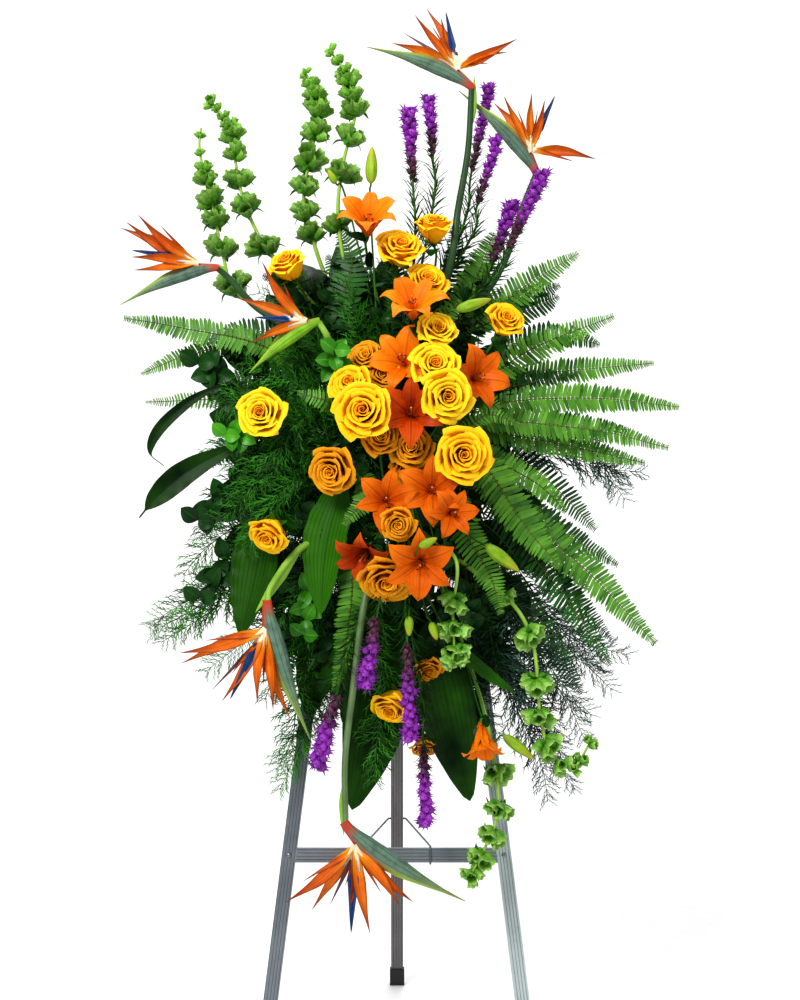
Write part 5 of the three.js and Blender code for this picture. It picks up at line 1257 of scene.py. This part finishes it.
BELLS = {
    "top": [
        ([(290, 320), (237, 293), (222, 250), (212, 204), (200, 153), (201, 128)], (60, 70),
         [(201, 137, 5), (200, 154, 5), (200, 168, 8), (204, 180, 10), (208, 198, 13), (215, 218, 13),
          (222, 248, 14), (236, 281, 15)]),
        ([(310, 300), (265, 245), (245, 204), (236, 165), (231, 128), (208, 98)], (50, 40),
         [(210, 101, 7), (219, 106, 5), (225, 113, 6), (230, 121, 8), (234, 134, 11), (236, 154, 11),
          (238, 177, 13), (246, 207, 14), (265, 245, 15)]),
        ([(325, 275), (309, 224), (304, 191), (314, 140), (316, 97), (303, 68)], (85, 70),
         [(304, 73, 5), (311, 85, 8), (316, 97, 10), (319, 111, 12), (317, 133, 13), (308, 160, 15),
          (307, 186, 13), (311, 211, 13), (314, 234, 13)]),
        ([(346, 270), (338, 210), (344, 160), (355, 112), (345, 72), (329, 50)], (55, 40),
         [(330, 52, 6), (337, 61, 6), (343, 70, 8), (347, 81, 10), (352, 93, 11), (356, 107, 13),
          (350, 136, 14), (340, 171, 15), (339, 223, 13)]),
    ],
    "low": [
        ([(456, 560), (453, 611), (455, 662)], (-40, -50),
         [(454, 602, 14), (451, 633, 15), (446, 655, 13), (460, 658, 13)]),
        ([(507, 598), (533, 645), (540, 713), (550, 750), (572, 768), (592, 740)], (20, -10),
         [(514, 591, 9), (529, 635, 15), (537, 680, 15), (541, 718, 14), (546, 747, 15), (563, 764, 11),
          (576, 768, 9), (588, 761, 8), (592, 742, 8)]),
        ([(478, 690), (494, 760), (498, 811), (484, 850), (468, 880)], (34, -30),
         [(493, 775, 15), (498, 811, 15), (488, 836, 13), (479, 857, 13), (470, 875, 11)]),
    ],
}


FULLER_ABOVE = 1.12     # the bells above are wider than their whorls


def bell(growth, foot, out, size, pale):
    """A wide veined cup with a wavy rim. All but the palest have a small white flower inside."""
    side, over, axis = square_to(out)
    turn = np.linspace(0, 2 * math.pi, 16)[:-1][None]
    stations = (0, 0.18, 0.45, 0.8, 1)
    v = np.array(stations)[:, None]
    start = rng.uniform(0, ANY_ANGLE)
    flare = np.interp(v, stations, (0.08, 0.3, 0.43, 0.46, 0.5))
    ripple = (1 + 0.09 * v ** 2 * np.sin(5 * turn + start) + 0.16 * v * np.sin(2 * turn + start)
              + 0.06 * v * np.sin(3 * turn))
    height = np.interp(v, stations, (0.0, 0.12, 0.5, 0.92, 1.1)) + 0.09 * v ** 2 * np.cos(5 * turn + start)
    grid = foot + size * ((flare * ripple * np.cos(turn))[..., None] * side
                          + (flare * ripple * np.sin(turn))[..., None] * over
                          + (height * np.ones_like(turn))[..., None] * axis)
    shell(growth, grid, 0.0006, tone=pale, material=1, wrapped=True)
    if pale > 0.6:
        return
    heart = foot + axis * size * 0.15
    flower = (heart, heart + axis * size * 0.15, heart + axis * size * 0.32)
    skin(growth, flower, (size * 0.04, size * 0.09, size * 0.02), 6, material=2, tone=0.8)


def make_bells():
    for place, stems in BELLS.items():
        growth = Growth()
        fuller = FULLER_ABOVE if place == "top" else 1
        for path, depth, whorls in stems:
            line = smooth((*rooted(f"bells_{place}"), *traced(path, depth)), 120)
            ways = ways_along(line)
            skin(growth, line, np.linspace(0.0044, 0.0018, 120), 8, tone=0.7)
            for number, (x, y, radius) in enumerate(whorls):
                far = [np.linalg.norm(seen((x, y), (point[1] - SHIFT[1]) * 1000) - point) for point in line]
                k = int(np.argmin(far))
                size = radius * scale_at((line[k][1] - SHIFT[1]) * 1000) * fuller
                side, over, _ = square_to(ways[k])
                share = number / len(whorls) if place == "top" else 0.65
                cups = 6 if radius > 9 else 4
                for cup in range(cups):
                    angle = cup * 2 * math.pi / cups + number * 0.5 + rng.uniform(-0.15, 0.15)
                    out = side * math.cos(angle) + over * math.sin(angle)
                    rise = rng.uniform(0.5, 1.5) if place == "top" else rng.uniform(0.3, 1.3)
                    foot = line[k] + out * 0.002 + ways[k] * rng.uniform(-0.7, -0.05) * size
                    bell(growth, foot, unit(out + ways[k] * rise), size * rng.uniform(0.8, 1.05),
                         np.clip(1.0 - share * 0.9 + rng.uniform(-0.15, 0.15), 0, 1))
                for way in (side, -side, over)[:3 if radius > 12 else 0]:
                    fall = line[k] - ways[k] * size * 0.3
                    spine = smooth((fall, fall + (way - ways[k] * 0.1) * size * 0.7,
                                    fall + (way - ways[k] * 0.5) * size * 1.0), 7)
                    widths = size * 0.2 * (0.1 + np.sin(math.pi * np.linspace(0, 1, 7) ** 0.8))
                    leaf(growth, spine, widths, -ways[k], cup=0.2, columns=5, material=3,
                         tone=rng.uniform(0, 1))
        look = BELL if place == "low" else BELL_DEEP
        put(f"bells_of_ireland_{place}", growth, (PALE_STEM, look, PETAL_WHITE, SEPAL), (f"bells_{place}",))


# Sword ferns: the rib's pixels, the leaflets' half width in pixels, the depths and how light it is: 1 for a
# lit frond, 0 for one darkened as painted shade

FERNS = {
    "upper": [
        ([(455, 330), (476, 280), (494, 232)], 20, (60, 70), 1),
        ([(460, 343), (520, 290), (579, 253)], 18, (60, 70), 1),
        ([(505, 326), (559, 296)], 14, (95, 105), 0),
        ([(470, 392), (530, 350), (614, 316)], 17, (50, 60), 1),
        ([(500, 378), (654, 363)], 14, (85, 90), 1), ([(361, 300), (326, 255)], 13, (80, 90), 0),
    ],
    "lower": [
        ([(484, 396), (580, 373)], 13, (75, 80), 0),
        ([(496, 405), (590, 398), (680, 407)], 16, (50, 40), 1),
        ([(476, 420), (593, 430), (669, 448)], 15, (30, 20), 1),
        ([(478, 430), (560, 444), (645, 463)], 15, (55, 50), 1),
        ([(478, 452), (536, 483), (566, 512)], 15, (20, 10), 1),
        ([(486, 466), (526, 527), (560, 567)], 20, (0, -20), 1),
        ([(488, 477), (560, 530), (618, 565)], 15, (75, 80), 0),
        ([(494, 492), (585, 569), (656, 644)], 20, (40, 30), 1),
        ([(486, 500), (560, 590), (611, 666)], 18, (60, 60), 0),
        ([(462, 520), (490, 575), (501, 614)], 17, (-10, -25), 1),
        ([(500, 560), (555, 650), (582, 694)], 17, (85, 85), 0),
        ([(474, 580), (500, 650), (511, 700)], 17, (65, 60), 0),
    ],
    "left": [
        ([(275, 352), (182, 328), (124, 318)], 15, (50, 40), 1),
        ([(255, 350), (190, 355), (141, 374)], 13, (80, 80), 1),
        ([(240, 402), (145, 402)], 10, (95, 95), 1),
        ([(352, 560), (346, 640), (334, 692)], 15, (10, -10), 1),
        ([(366, 487), (344, 525)], 13, (-30, -50), 1), ([(335, 406), (297, 392)], 12, (-40, -50), 1),
    ],
}
# Short bright tips between the blooms, and fronds darkened as painted shade that close the gaps behind them
SHORT_FERNS = {
    "upper": [
        ([(440, 330), (462, 300)], 12, (20, 10), 1),
        ([(350, 330), (352, 262), (338, 226)], 20, (40, 50), 0),
        ([(395, 330), (395, 280), (388, 246)], 16, (80, 95), 0),
        ([(440, 320), (455, 262), (452, 226)], 14, (90, 100), 0),
        ([(480, 330), (520, 300), (560, 285)], 15, (105, 110), 0),
        ([(500, 350), (560, 335), (600, 345)], 15, (105, 110), 0),
    ],
    "lower": [
        ([(440, 440), (464, 420)], 11, (-40, -50), 1), ([(480, 400), (502, 412)], 11, (-30, -40), 1),
        ([(462, 434), (488, 415), (520, 425)], 10, (-45, -60), 1),
        ([(490, 440), (545, 478), (596, 530)], 17, (98, 106), 0),
        ([(490, 470), (540, 522), (588, 590)], 18, (94, 102), 0),
        ([(480, 470), (560, 580), (612, 640)], 17, (100, 108), 0),
        ([(480, 520), (520, 620), (545, 690)], 17, (90, 95), 0),
        ([(500, 420), (570, 425), (630, 430)], 14, (105, 110), 0),
        ([(470, 560), (480, 650), (475, 720)], 16, (90, 90), 0),
        ([(470, 590), (500, 650), (524, 705)], 17, (104, 106), 0),
    ],
    "left": [
        ([(300, 420), (240, 440), (200, 470)], 17, (90, 95), 0),
        ([(310, 470), (250, 530), (215, 590)], 17, (95, 100), 0),
        ([(320, 560), (290, 640), (275, 705)], 17, (80, 85), 0),
        ([(340, 340), (300, 290), (262, 275)], 16, (95, 100), 0),
        ([(320, 400), (260, 380), (210, 384)], 16, (60, 60), 0),
        ([(330, 480), (280, 500), (230, 530)], 17, (60, 60), 0),
        ([(395, 600), (390, 680), (388, 745)], 17, (90, 95), 0),
        ([(430, 600), (440, 680), (442, 730)], 16, (95, 100), 0),
        ([(340, 520), (310, 580), (290, 640)], 16, (60, 60), 0),
        ([(300, 350), (250, 330), (215, 335)], 14, (80, 80), 0),
    ],
}
LEAFLET_STEP = {"long": 0.0078, "short": 0.007}
FERN_NODES = {"upper": "ferns_right_upper", "lower": "ferns_right_lower", "left": "ferns_left"}


def leaflet(growth, half):
    """A blade one unit long, broad at its foot."""
    v = np.array((0, 0.1, 0.78, 1))
    spine = np.column_stack((v, 0.05 * v ** 2, -0.1 * v ** 2))
    widths = half * np.array((0.35, 1.05, 0.85, 0.22))
    leaf(growth, spine, widths, (0, 0, 1), thick=0.018, cup=0.1, fold=0.1, columns=3)


def make_ferns():
    blades = {"long": shape_of("long leaflet", lambda growth: leaflet(growth, 0.105)),
              "short": shape_of("short leaflet", lambda growth: leaflet(growth, 0.128))}
    for place, fronds in FERNS.items():
        growth = Growth()
        guides = {(is_lit, kind): Guide() for is_lit in (1, 0) for kind in blades}
        for rib, half, depth, is_lit in fronds + SHORT_FERNS[place]:
            points = traced(rib, depth)
            path = smooth((*rooted(f"ferns_{place}"), *points), 20 * (len(points) + 1) + 1)
            skin(growth, path, np.linspace(0.0019, 0.0006, len(path)), 6, tone=rng.uniform(0, 1))
            width = half * scale_at(depth[0])
            first = 20 * 2 - (6 if is_lit else 0)
            kind = "long" if half > 16 else "short"
            tilt = unit(FORWARD + UP * 0.2 + np.array((rng.uniform(-0.15, 0.15), 0, 0)))
            step = LEAFLET_STEP[kind] * (1.0 if is_lit else 1.15)

            def reach(t):
                return width * np.maximum(np.sin(math.pi * (0.2 + 0.77 * t)) ** 0.8, 0.22) * 1.04

            guides[is_lit, kind].fill(path[first:], step, tilt, reach)
        for number, ((is_lit, kind), guide) in enumerate(guides.items()):
            if guide.points:
                leaflets = guide.grown(PAIRS, blades[kind], FERN if is_lit else SHADED_FERN, Length=1.0,
                                       Lean=1.28, Jitter=0.05, Seed=21 + number)
                growth.take(leaflets, 1 if is_lit else 2)
        put(f"fronds_{place}", growth, (RIB, FERN, SHADED_FERN), (FERN_NODES[place],))


# Broad leaves: the midrib's pixels, half the widest part, the depths, how pale it is (painted light on leaves
# that look brightly lit), and the share that is drawn out to a thin tip

LEAVES = {
    "left": [
        ([(231, 381), (192, 400), (160, 428), (150, 452), (164, 466)], 5.5, (45, 20), 0.0, 0.2),
        ([(243, 443), (190, 470), (157, 497), (139, 518)], 12, (30, 20), 0.05, 0.14),
        ([(268, 503), (256, 571), (241, 636)], 24, (35, 10), 0.45, 0),
        ([(343, 482), (326, 546), (321, 614)], 22, (10, -10), 0.8, 0),
        ([(345, 590), (322, 660), (308, 716)], 24, (55, 45), 0.15, 0),
    ],
    "low": [
        ([(378, 600), (376, 705), (352, 810)], 32, (50, 25), 0.2, 0),
        ([(430, 620), (448, 710), (470, 801)], 27, (35, 15), 0.1, 0),
        ([(400, 600), (411, 650), (408, 700)], 22, (70, 70), 0.1, 0),
        ([(450, 640), (485, 672), (514, 692)], 6, (10, 0), 0.6, 0),
    ],
}


def make_leaves():
    for place, leaves in LEAVES.items():
        growth = Growth()
        for rib, half, depth, pale, drawn_out in leaves:
            points = traced(rib, depth)
            start = rooted(f"leaves_{place}")
            skin(growth, smooth((*start, points[0]), 24), 0.0022, 7, material=1)
            spine = smooth(points, 34)
            v = np.linspace(0, 1, 34)
            blade = np.minimum(v / (1 - drawn_out), 1) ** (0.8 + 2 * drawn_out)
            widths = half * scale_at(depth[0]) * (0.07 + np.sin(math.pi * blade) ** 0.8)
            widths[-1] = 0.0006
            facing = FORWARD + UP * 0.2 + np.array((rng.uniform(-0.5, 0.5), 0, 0))
            # The pale value lifts the tone of leaves that look brightly lit: painted light.
            leaf(growth, spine, widths, facing, thick=0.0009, cup=0.12, fold=0.16, columns=21, wave=0.06,
                 pleat=0.012, tone=pale)
        put(f"broad_leaves_{place}", growth, (BROAD, STEM), (f"leaves_{place}",))


# Sprigs of glossy leaves: where the tip is, a leaf's length in pixels, the leaves, the depth, the look: 1 for
# the near-black copy that is painted shade

SPRIGS = (((335, 350), 19, 9, -70, 0), ((225, 435), 18, 8, -5, 0), ((198, 520), 22, 8, 30, 1),
          ((198, 364), 23, 8, 60, 1), ((200, 598), 21, 8, 45, 1), ((303, 634), 18, 9, 5, 0),
          ((247, 345), 17, 8, 70, 1), ((290, 300), 17, 8, 60, 1), ((330, 300), 17, 8, 40, 1),
          ((380, 320), 17, 8, 30, 1), ((300, 520), 17, 8, 20, 1), ((240, 480), 17, 8, 50, 1),
          ((345, 430), 17, 8, 10, 1), ((300, 440), 17, 8, 30, 1), ((355, 470), 17, 8, 0, 1),
          ((470, 300), 17, 8, 60, 1), ((500, 440), 16, 8, 60, 1), ((470, 540), 17, 8, 30, 1),
          ((440, 560), 17, 8, 0, 1), ((355, 620), 17, 8, 20, 1), ((400, 610), 17, 8, 10, 1),
          ((470, 620), 17, 8, 30, 1), ((440, 660), 17, 8, 30, 1), ((290, 590), 17, 8, 30, 1),
          ((330, 690), 17, 8, 40, 1), ((380, 660), 17, 8, 50, 1), ((270, 660), 17, 8, 45, 1),
          ((500, 610), 17, 8, 60, 1))


# How far the dense greens reach: a height in pixels, and from where to where they go there
DENSE = ((258, 262, 400), (272, 300, 490), (300, 250, 500), (340, 200, 525), (380, 200, 530), (420, 200, 535),
         (460, 205, 545), (500, 195, 555), (540, 205, 560), (580, 205, 545), (620, 225, 535), (660, 255, 520),
         (700, 300, 520), (735, 345, 495))


def oval_leaf(growth):
    """A pointed oval leaf one unit long."""
    v = np.linspace(0, 1, 5)
    spine = np.column_stack((0.3 * v ** 2, np.zeros(5), v))
    leaf(growth, spine, 0.25 * np.array((0.1, 0.85, 1, 0.62, 0.03)), (1, 0, 0), thick=0.015, cup=0.1,
         fold=0.2, columns=3)


def dense_places(step, margin):
    """Places spread row by row over the dense greens, in pixels."""
    for height, low, high in DENSE:
        for x in np.linspace(low + margin, high - margin, max(2, round((high - low) / step))):
            yield x, height


def bunch_beside(x, middle=390):
    return "sprigs" if x < middle else "asparagus_right"


def make_sprigs():
    growth = Growth()
    for at, size, count, depth, dark in SPRIGS:
        end = seen(at, depth)
        inside, start = rooted(bunch_beside(at[0], 370), 30)
        path = smooth((inside, start, (start + end) / 2 + UP * 0.012, end), 24)
        skin(growth, path, np.linspace(0.0018, 0.001, 24), 6, material=2)
        length = size * scale_at(depth) * 1.25
        for k in range(count):
            place = path[-1 - k // 2]
            way = ways_along(path)[-1]
            angle = k * GOLDEN_TURN + rng.uniform(-0.2, 0.2)
            out = np.array((math.cos(angle), -0.25 - 0.1 * k / count, math.sin(angle)))
            tip = place + out * length * (0.7 + 0.3 * k / count)
            spine = smooth((place, (place + tip) / 2 + FORWARD * length * 0.1, tip), 8)
            v = np.linspace(0, 1, 8)
            widths = length * 0.30 * (0.06 + np.sin(math.pi * v ** 0.85) ** 0.85)
            widths[-1] = 0.0004
            leaf(growth, spine, widths, FORWARD + way * 0.2, thick=0.0006, cup=0.18, fold=0.12, columns=5,
                 wave=0.03, tone=rng.uniform(0, 1), material=dark)
    # The dense greens all take the near-black glossy finish: painted shade deep in the spray, behind the
    # blooms.
    guide = Guide()
    for x, height in dense_places(44, 22):
        depth = rng.uniform(25, 85)
        end = seen((x + rng.uniform(-9, 9), height + rng.uniform(-12, 12)), depth)
        inside, start = rooted(bunch_beside(x), 60)
        path = smooth((inside, start, (start + end) / 2 + rng.uniform(-0.01, 0.01, 3), end), 13)
        skin(growth, path, np.linspace(0.0016, 0.0009, 13), 4, material=2)
        guide.follow(path[9:], 0.0105, UP, lambda t: rng.uniform(0.026, 0.042) * (1 - 0.3 * t))
    middle = seen((395, 470), 60)
    for x, height in dense_places(30, 14):
        end = seen((x + rng.uniform(-10, 10), height + rng.uniform(-14, 14)), rng.uniform(78, 112))
        out = unit(end - middle)
        length = rng.uniform(0.08, 0.12)
        foot = end - out * length
        inside, start = rooted(bunch_beside(x), 60)
        skin(growth, smooth((inside, start, foot), 8), 0.0012, 4, material=2)
        v = np.linspace(0, 1, 8)
        spine = smooth((foot, (foot + end) / 2 + FORWARD * 0.008, end), 8)
        widths = length * rng.uniform(0.24, 0.33) * (0.05 + np.sin(math.pi * v ** 0.85) ** 0.85)
        facing = FORWARD + rng.uniform(-0.5, 0.5, 3)
        leaf(growth, spine, widths, facing, thick=0.0008, cup=0.12, fold=0.14, columns=5, wave=0.05,
             tone=rng.uniform(0, 0.7), material=1)
    leaf_shape = shape_of("oval leaf", oval_leaf)
    growth.take(guide.grown(SPIRAL, leaf_shape, SHADED_GLOSSY, Length=1.0, Lean=1.05, Turn=GOLDEN_TURN,
                            Jitter=0.35, Seed=41), 1)
    put("glossy_sprigs", growth, (GLOSSY, SHADED_GLOSSY, TWIG), ("leafy_sprigs",))


# Asparagus fern

PLUMES = {
    "left": [
        ([(300, 440), (262, 470), (236, 508)], (20, 0)), ([(300, 470), (262, 520), (245, 552)], (10, -10)),
        ([(300, 430), (250, 432), (205, 455)], (84, 84)), ([(275, 530), (205, 588), (148, 625)], (70, 60)),
        ([(285, 560), (220, 606), (162, 642)], (85, 80)), ([(300, 590), (245, 640), (205, 672)], (60, 50)),
        ([(320, 690), (300, 745), (280, 790)], (64, 25)), ([(260, 515), (210, 545), (183, 575)], (90, 90)),
        ([(325, 360), (290, 310), (258, 292)], (95, 95)), ([(300, 400), (270, 380), (235, 372)], (60, 50)),
        ([(310, 420), (285, 440), (270, 480)], (10, -10)), ([(330, 440), (315, 430), (290, 415)], (10, 0)),
        ([(300, 480), (275, 500), (280, 540)], (0, -10)), ([(320, 380), (310, 350), (325, 290)], (60, 50)),
        ([(340, 330), (350, 290), (355, 255)], (70, 70)), ([(330, 330), (370, 290), (390, 260)], (70, 70)),
        ([(280, 400), (240, 400), (215, 410)], (50, 40)), ([(270, 470), (225, 500), (200, 540)], (60, 50)),
        ([(330, 600), (290, 640), (265, 700)], (50, 40)), ([(345, 610), (330, 680), (325, 740)], (60, 50)),
        ([(385, 680), (378, 730), (374, 782)], (14, 2)), ([(262, 560), (210, 600), (152, 632)], (60, 60)),
        ([(300, 690), (292, 740), (276, 770)], (50, 30)),
    ],
    "right": [
        ([(540, 455), (600, 468), (642, 472)], (100, 100)),
        ([(510, 560), (565, 640), (612, 690)], (100, 95)), ([(505, 600), (560, 680), (592, 716)], (60, 50)),
        ([(500, 640), (550, 720), (562, 762)], (75, 60)), ([(505, 680), (540, 760), (548, 802)], (45, 35)),
        ([(490, 600), (555, 650), (602, 664)], (110, 110)),
        ([(470, 560), (490, 620), (500, 690)], (80, 70)), ([(460, 600), (470, 680), (500, 740)], (70, 60)),
        ([(500, 620), (560, 690), (585, 740)], (70, 60)), ([(505, 650), (545, 740), (575, 790)], (60, 55)),
        ([(540, 440), (590, 450), (625, 500)], (105, 105)),
        ([(510, 590), (580, 640), (628, 655)], (100, 100)),
    ],
}


# Ends in pixels of short plumes that close the middle, and the point that they spread from
WISPS = ((215, 400), (240, 430), (270, 440), (300, 455), (225, 465), (255, 490), (290, 500), (215, 520),
         (305, 540), (240, 545), (275, 560), (315, 400), (330, 370), (350, 340), (365, 310), (400, 280),
         (345, 275), (300, 320), (280, 345), (245, 360), (360, 460), (345, 560), (330, 600), (300, 610),
         (280, 620), (350, 650), (375, 690))
WISPS_FROM, WISP_START = (370, 440), 0.45


def needled_twig(growth):
    """A twig one unit long with needles round it."""
    draw = np.random.default_rng(5)
    spike(growth, (0, 0, 0), (1, 0, 0), 0.014)
    for k in range(9):
        at = 0.06 + 0.8 * k / 8
        angle = k * GOLDEN_TURN
        out = np.array((1.0, 0.6 * math.cos(angle), 0.6 * math.sin(angle))) * draw.uniform(0.26, 0.4)
        spike(growth, (at, 0, 0), np.array((at, 0, 0)) + out, 0.028)


def make_asparagus():
    twig = shape_of("needled twig", needled_twig)
    for place, plumes in PLUMES.items():
        growth, guide = Growth(), Guide()
        more = []
        for end in WISPS if place == "left" else ():
            near = rng.uniform(-5, 60)
            start = tuple(middle + (far - middle) * WISP_START for middle, far in zip(WISPS_FROM, end))
            more.append(([start, end], (near + 15, near)))
        for pixels, depth in plumes + more:
            points = traced(pixels, depth)
            path = smooth((*rooted(f"asparagus_{place}", 30), *points), 25)
            skin(growth, path, np.linspace(0.0014, 0.0005, 25), 4, tone=rng.uniform(0, 1))
            guide.follow(path[10:], 0.0086, unit(FORWARD + rng.uniform(-0.5, 0.5, 3)),
                         lambda t: 0.016 + 0.034 * np.sin(math.pi * (0.2 + 0.75 * t)))
        look = PLUME if place == "left" else PLUME_DUSKY
        growth.take(guide.grown(PAIRS, twig, look, Length=1.0, Lean=0.75, Jitter=0.35, Seed=31), 1)
        put(f"asparagus_plumes_{place}", growth, (TWIG, look), (f"asparagus_{place}",))


# The foam, the holder and the easel


FOAM_TRIM = 0.6         # millimetres, off its top and bottom


def make_foam():
    """A block with soft edges, as wet foam has once it is cut and soaked."""
    mesh = bpy.data.meshes.new("foam_block")
    front = FOAM_BACK - FOAM_DEEP
    around = ((-SIDE, front), (SIDE, front), (SIDE, FOAM_BACK), (-SIDE, FOAM_BACK))
    corners = [on_frame(x, y, ALONG + z) for z in (-TOP + FOAM_TRIM, TOP - FOAM_TRIM) for x, y in around]
    faces = ((0, 3, 2, 1), (4, 5, 6, 7), (0, 1, 5, 4), (1, 2, 6, 5), (2, 3, 7, 6), (3, 0, 4, 7))
    mesh.from_pydata([tuple(corner) for corner in corners], [], faces)
    mesh.materials.append(FOAM)
    made = bpy.data.objects.new("foam_block", mesh)
    bpy.context.scene.collection.objects.link(made)
    bevel = made.modifiers.new("soft edges", "BEVEL")
    bevel.width, bevel.segments = 0.004, 3
    made.data.shade_smooth()
    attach(made, "stand")
    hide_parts("foam")


def dress_easel():
    looks = {"leg_left": LEFT_METAL, "leg_right": LIT_RIGHT_METAL, "crossbar": BAR_METAL, "hinge_bracket": STEEL,
             "leg_rear": SHADED_REAR_METAL, "foot_left": RUBBER, "foot_right": RUBBER, "foot_rear": RUBBER,
             "holder": PLASTIC}
    for node, look in looks.items():
        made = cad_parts[node]
        if not made.material_slots:
            made.data.materials.append(look)
        for each in made.material_slots:
            each.material = look


# The stay wire: half the distance between its hooks and how far they stand off in millimetres,
# then in metres its height at the rear leg, its bends and its radius
HOOK_OUT, HOOK_CLEAR = 57, 2.2
STAY_TALL, BEND, WIRE_RADIUS = 0.35, 0.006, 0.0018


def make_wire():
    """The stay wire: two hooks over the crossbar, joined behind the rear leg."""
    hinge, foot = on_frame(0, PIN_BEHIND, PIN_AT), REAR_FOOT + SHIFT
    behind = hinge + (foot - hinge) * (hinge[2] - STAY_TALL) / hinge[2]
    low, high = CROSSBAR_AT - CROSSBAR_HALF, CROSSBAR_AT + CROSSBAR_HALF
    half = [on_frame(HOOK_OUT, 7, low), on_frame(HOOK_OUT, -HOOK_CLEAR, low),
            on_frame(HOOK_OUT, -HOOK_CLEAR, high), on_frame(HOOK_OUT, 10, high),
            np.array((SHIFT[0] + 0.017, behind[1] + 0.0102, behind[2]))]
    points = half + [np.array((2 * SHIFT[0] - p[0], p[1], p[2])) for p in reversed(half)]
    rounded = [points[0]]
    share = np.linspace(0, 1, 6)[:, None]
    for before, corner, after in zip(points, points[1:], points[2:]):
        first, last = [corner + unit(far - corner) * min(BEND, 0.45 * np.linalg.norm(far - corner))
                       for far in (before, after)]
        rounded.extend((1 - share) ** 2 * first + 2 * share * (1 - share) * corner + share ** 2 * last)
    rounded.append(points[-1])
    growth = Growth()
    skin(growth, np.array(rounded), WIRE_RADIUS, 12)
    put("bent_stay_wire", growth, (WIRE_STEEL,), ("stay_wire",))


def leg_at(along):
    """How far out the middle of a front leg is, in millimetres."""
    return LEG_OUT - LEAN_IN * along * math.cos(LEAN)


def make_rivets():
    """Domed rivets: crossbar to legs, bracket to legs, and the caps on the hinge pin."""
    growth = Growth()
    outward = unit(on_frame(0, -1, 0) - on_frame(0, 0, 0))
    profile = ((0.0042, -0.0006), (0.0042, 0.0002), (0.0034, 0.0012), (0.0018, 0.0018), (0.0004, 0.002))

    def dome(at, way, size=1.0):
        skin(growth, [at + way * up * size for _, up in profile], [out * size for out, _ in profile], 16)

    for way in (-1, 1):
        dome(on_frame(way * leg_at(CROSSBAR_AT), -0.6, CROSSBAR_AT), outward)
        for height in BRACKET_RIVETS:
            dome(on_frame(way * leg_at(height), BRACKET_BACK, height), -outward, 0.8)
        dome(on_frame(way * PIN_HALF, PIN_BEHIND, PIN_AT), np.array((way, 0.0, 0.0)), 0.9)
    put("rivets", growth, (STEEL,), ())


# The studio


FLOOR_REACH = 3.0       # radius of the floor
FLOOR_WHOLE = 0.9       # from this radius on it fades out, so that its edge isn't seen
FLOOR_SIDES, FLOOR_DROP = 96, 0.0004
WORLD_LIGHT = 0.4       # what the white surround lights, next to how bright it looks
SENSOR = 36             # millimetres, along the taller side of the picture
# Each lamp's place, what it aims at, its size and its power
LAMPS = {"key": ((-1.5, -2.6, 3.0), (0, 0, 1.1), 1.1, 94), "fill": ((2.2, -2.6, 1.5), (0, 0, 0.9), 1.8, 22),
         "top": ((0.2, 0.2, 3.4), (0, 0, 1.0), 1.6, 34), "back": ((0.4, 3.2, 2.4), (0, 0, 0.9), 2.4, 40)}


def fade_out(paper):
    """Makes the floor see-through towards its rim."""
    tree = paper.node_tree
    place = wire(tree, "ShaderNodeTexCoord").outputs["Object"]
    from_middle = wire(tree, "ShaderNodeVectorMath", {0: place}, operation="LENGTH").outputs["Value"]
    whole = ramp_of(tree, from_middle, FLOOR_REACH, FLOOR_WHOLE)
    tree.links.new(whole, tree.nodes["Principled BSDF"].inputs["Alpha"])


def make_studio():
    """A pale round floor with a plain white surround, and four soft lamps."""
    camera = bpy.data.objects.new("camera", bpy.data.cameras.new("camera"))
    camera.data.sensor_width = SENSOR
    camera.data.lens = SENSOR * -EYE[1] / (VIEW_TALL * PIXEL)
    camera.location = EYE + SHIFT
    camera.rotation_euler = (math.radians(90), 0, 0)
    bpy.context.scene.collection.objects.link(camera)
    bpy.context.scene.camera = camera
    turns = np.linspace(0, 2 * math.pi, FLOOR_SIDES, endpoint=False)
    rim = [(FLOOR_REACH * math.cos(turn), FLOOR_REACH * math.sin(turn), -FLOOR_DROP) for turn in turns]
    disc = bpy.data.meshes.new("floor")
    disc.from_pydata(rim, [], [tuple(range(FLOOR_SIDES))])
    looks = {"Body": (0.93, 0.93, 0.93, 1), "Pit": (0.90, 0.90, 0.90, 1), "Pit size": 40.0}
    paper = material("floor_paper", PORES, looks, bump=0.02)
    fade_out(paper)
    disc.materials.append(paper)
    floor = bpy.data.objects.new("floor", disc)
    bpy.context.scene.collection.objects.link(floor)
    for name, (place, aim, size, power) in LAMPS.items():
        light = bpy.data.lights.new(name, "AREA")
        light.size, light.energy = size, power
        lamp = bpy.data.objects.new(name, light)
        lamp.location = place
        side, _, back = square_to(np.array(place) - np.array(aim, float))
        axes = np.column_stack((np.cross(side, back), side, back))
        lamp.rotation_mode = "XYZ"
        lamp.rotation_euler = Matrix(axes.tolist()).to_euler()
        bpy.context.scene.collection.objects.link(lamp)
    world = bpy.data.worlds.new("studio")
    world.use_nodes = True
    tree = world.node_tree
    seen_first = wire(tree, "ShaderNodeLightPath").outputs["Is Camera Ray"]
    strength = scaled(tree, seen_first, 1.0 - WORLD_LIGHT, WORLD_LIGHT)
    tree.nodes["Background"].inputs["Color"].default_value = (1, 1, 1, 1)
    tree.links.new(strength, tree.nodes["Background"].inputs["Strength"])
    bpy.context.scene.world = world
    bpy.context.scene.view_settings.view_transform = "Standard"
    bpy.context.scene.view_settings.look = "Medium High Contrast"


make_studio()
make_bloom_stems()
make_roses()
make_lilies()
make_birds()
make_stars()
make_bells()
make_ferns()
make_leaves()
make_sprigs()
make_asparagus()
make_foam()
dress_easel()
make_wire()
make_rivets()
for shape in shapes:
    bpy.data.objects.remove(shape)
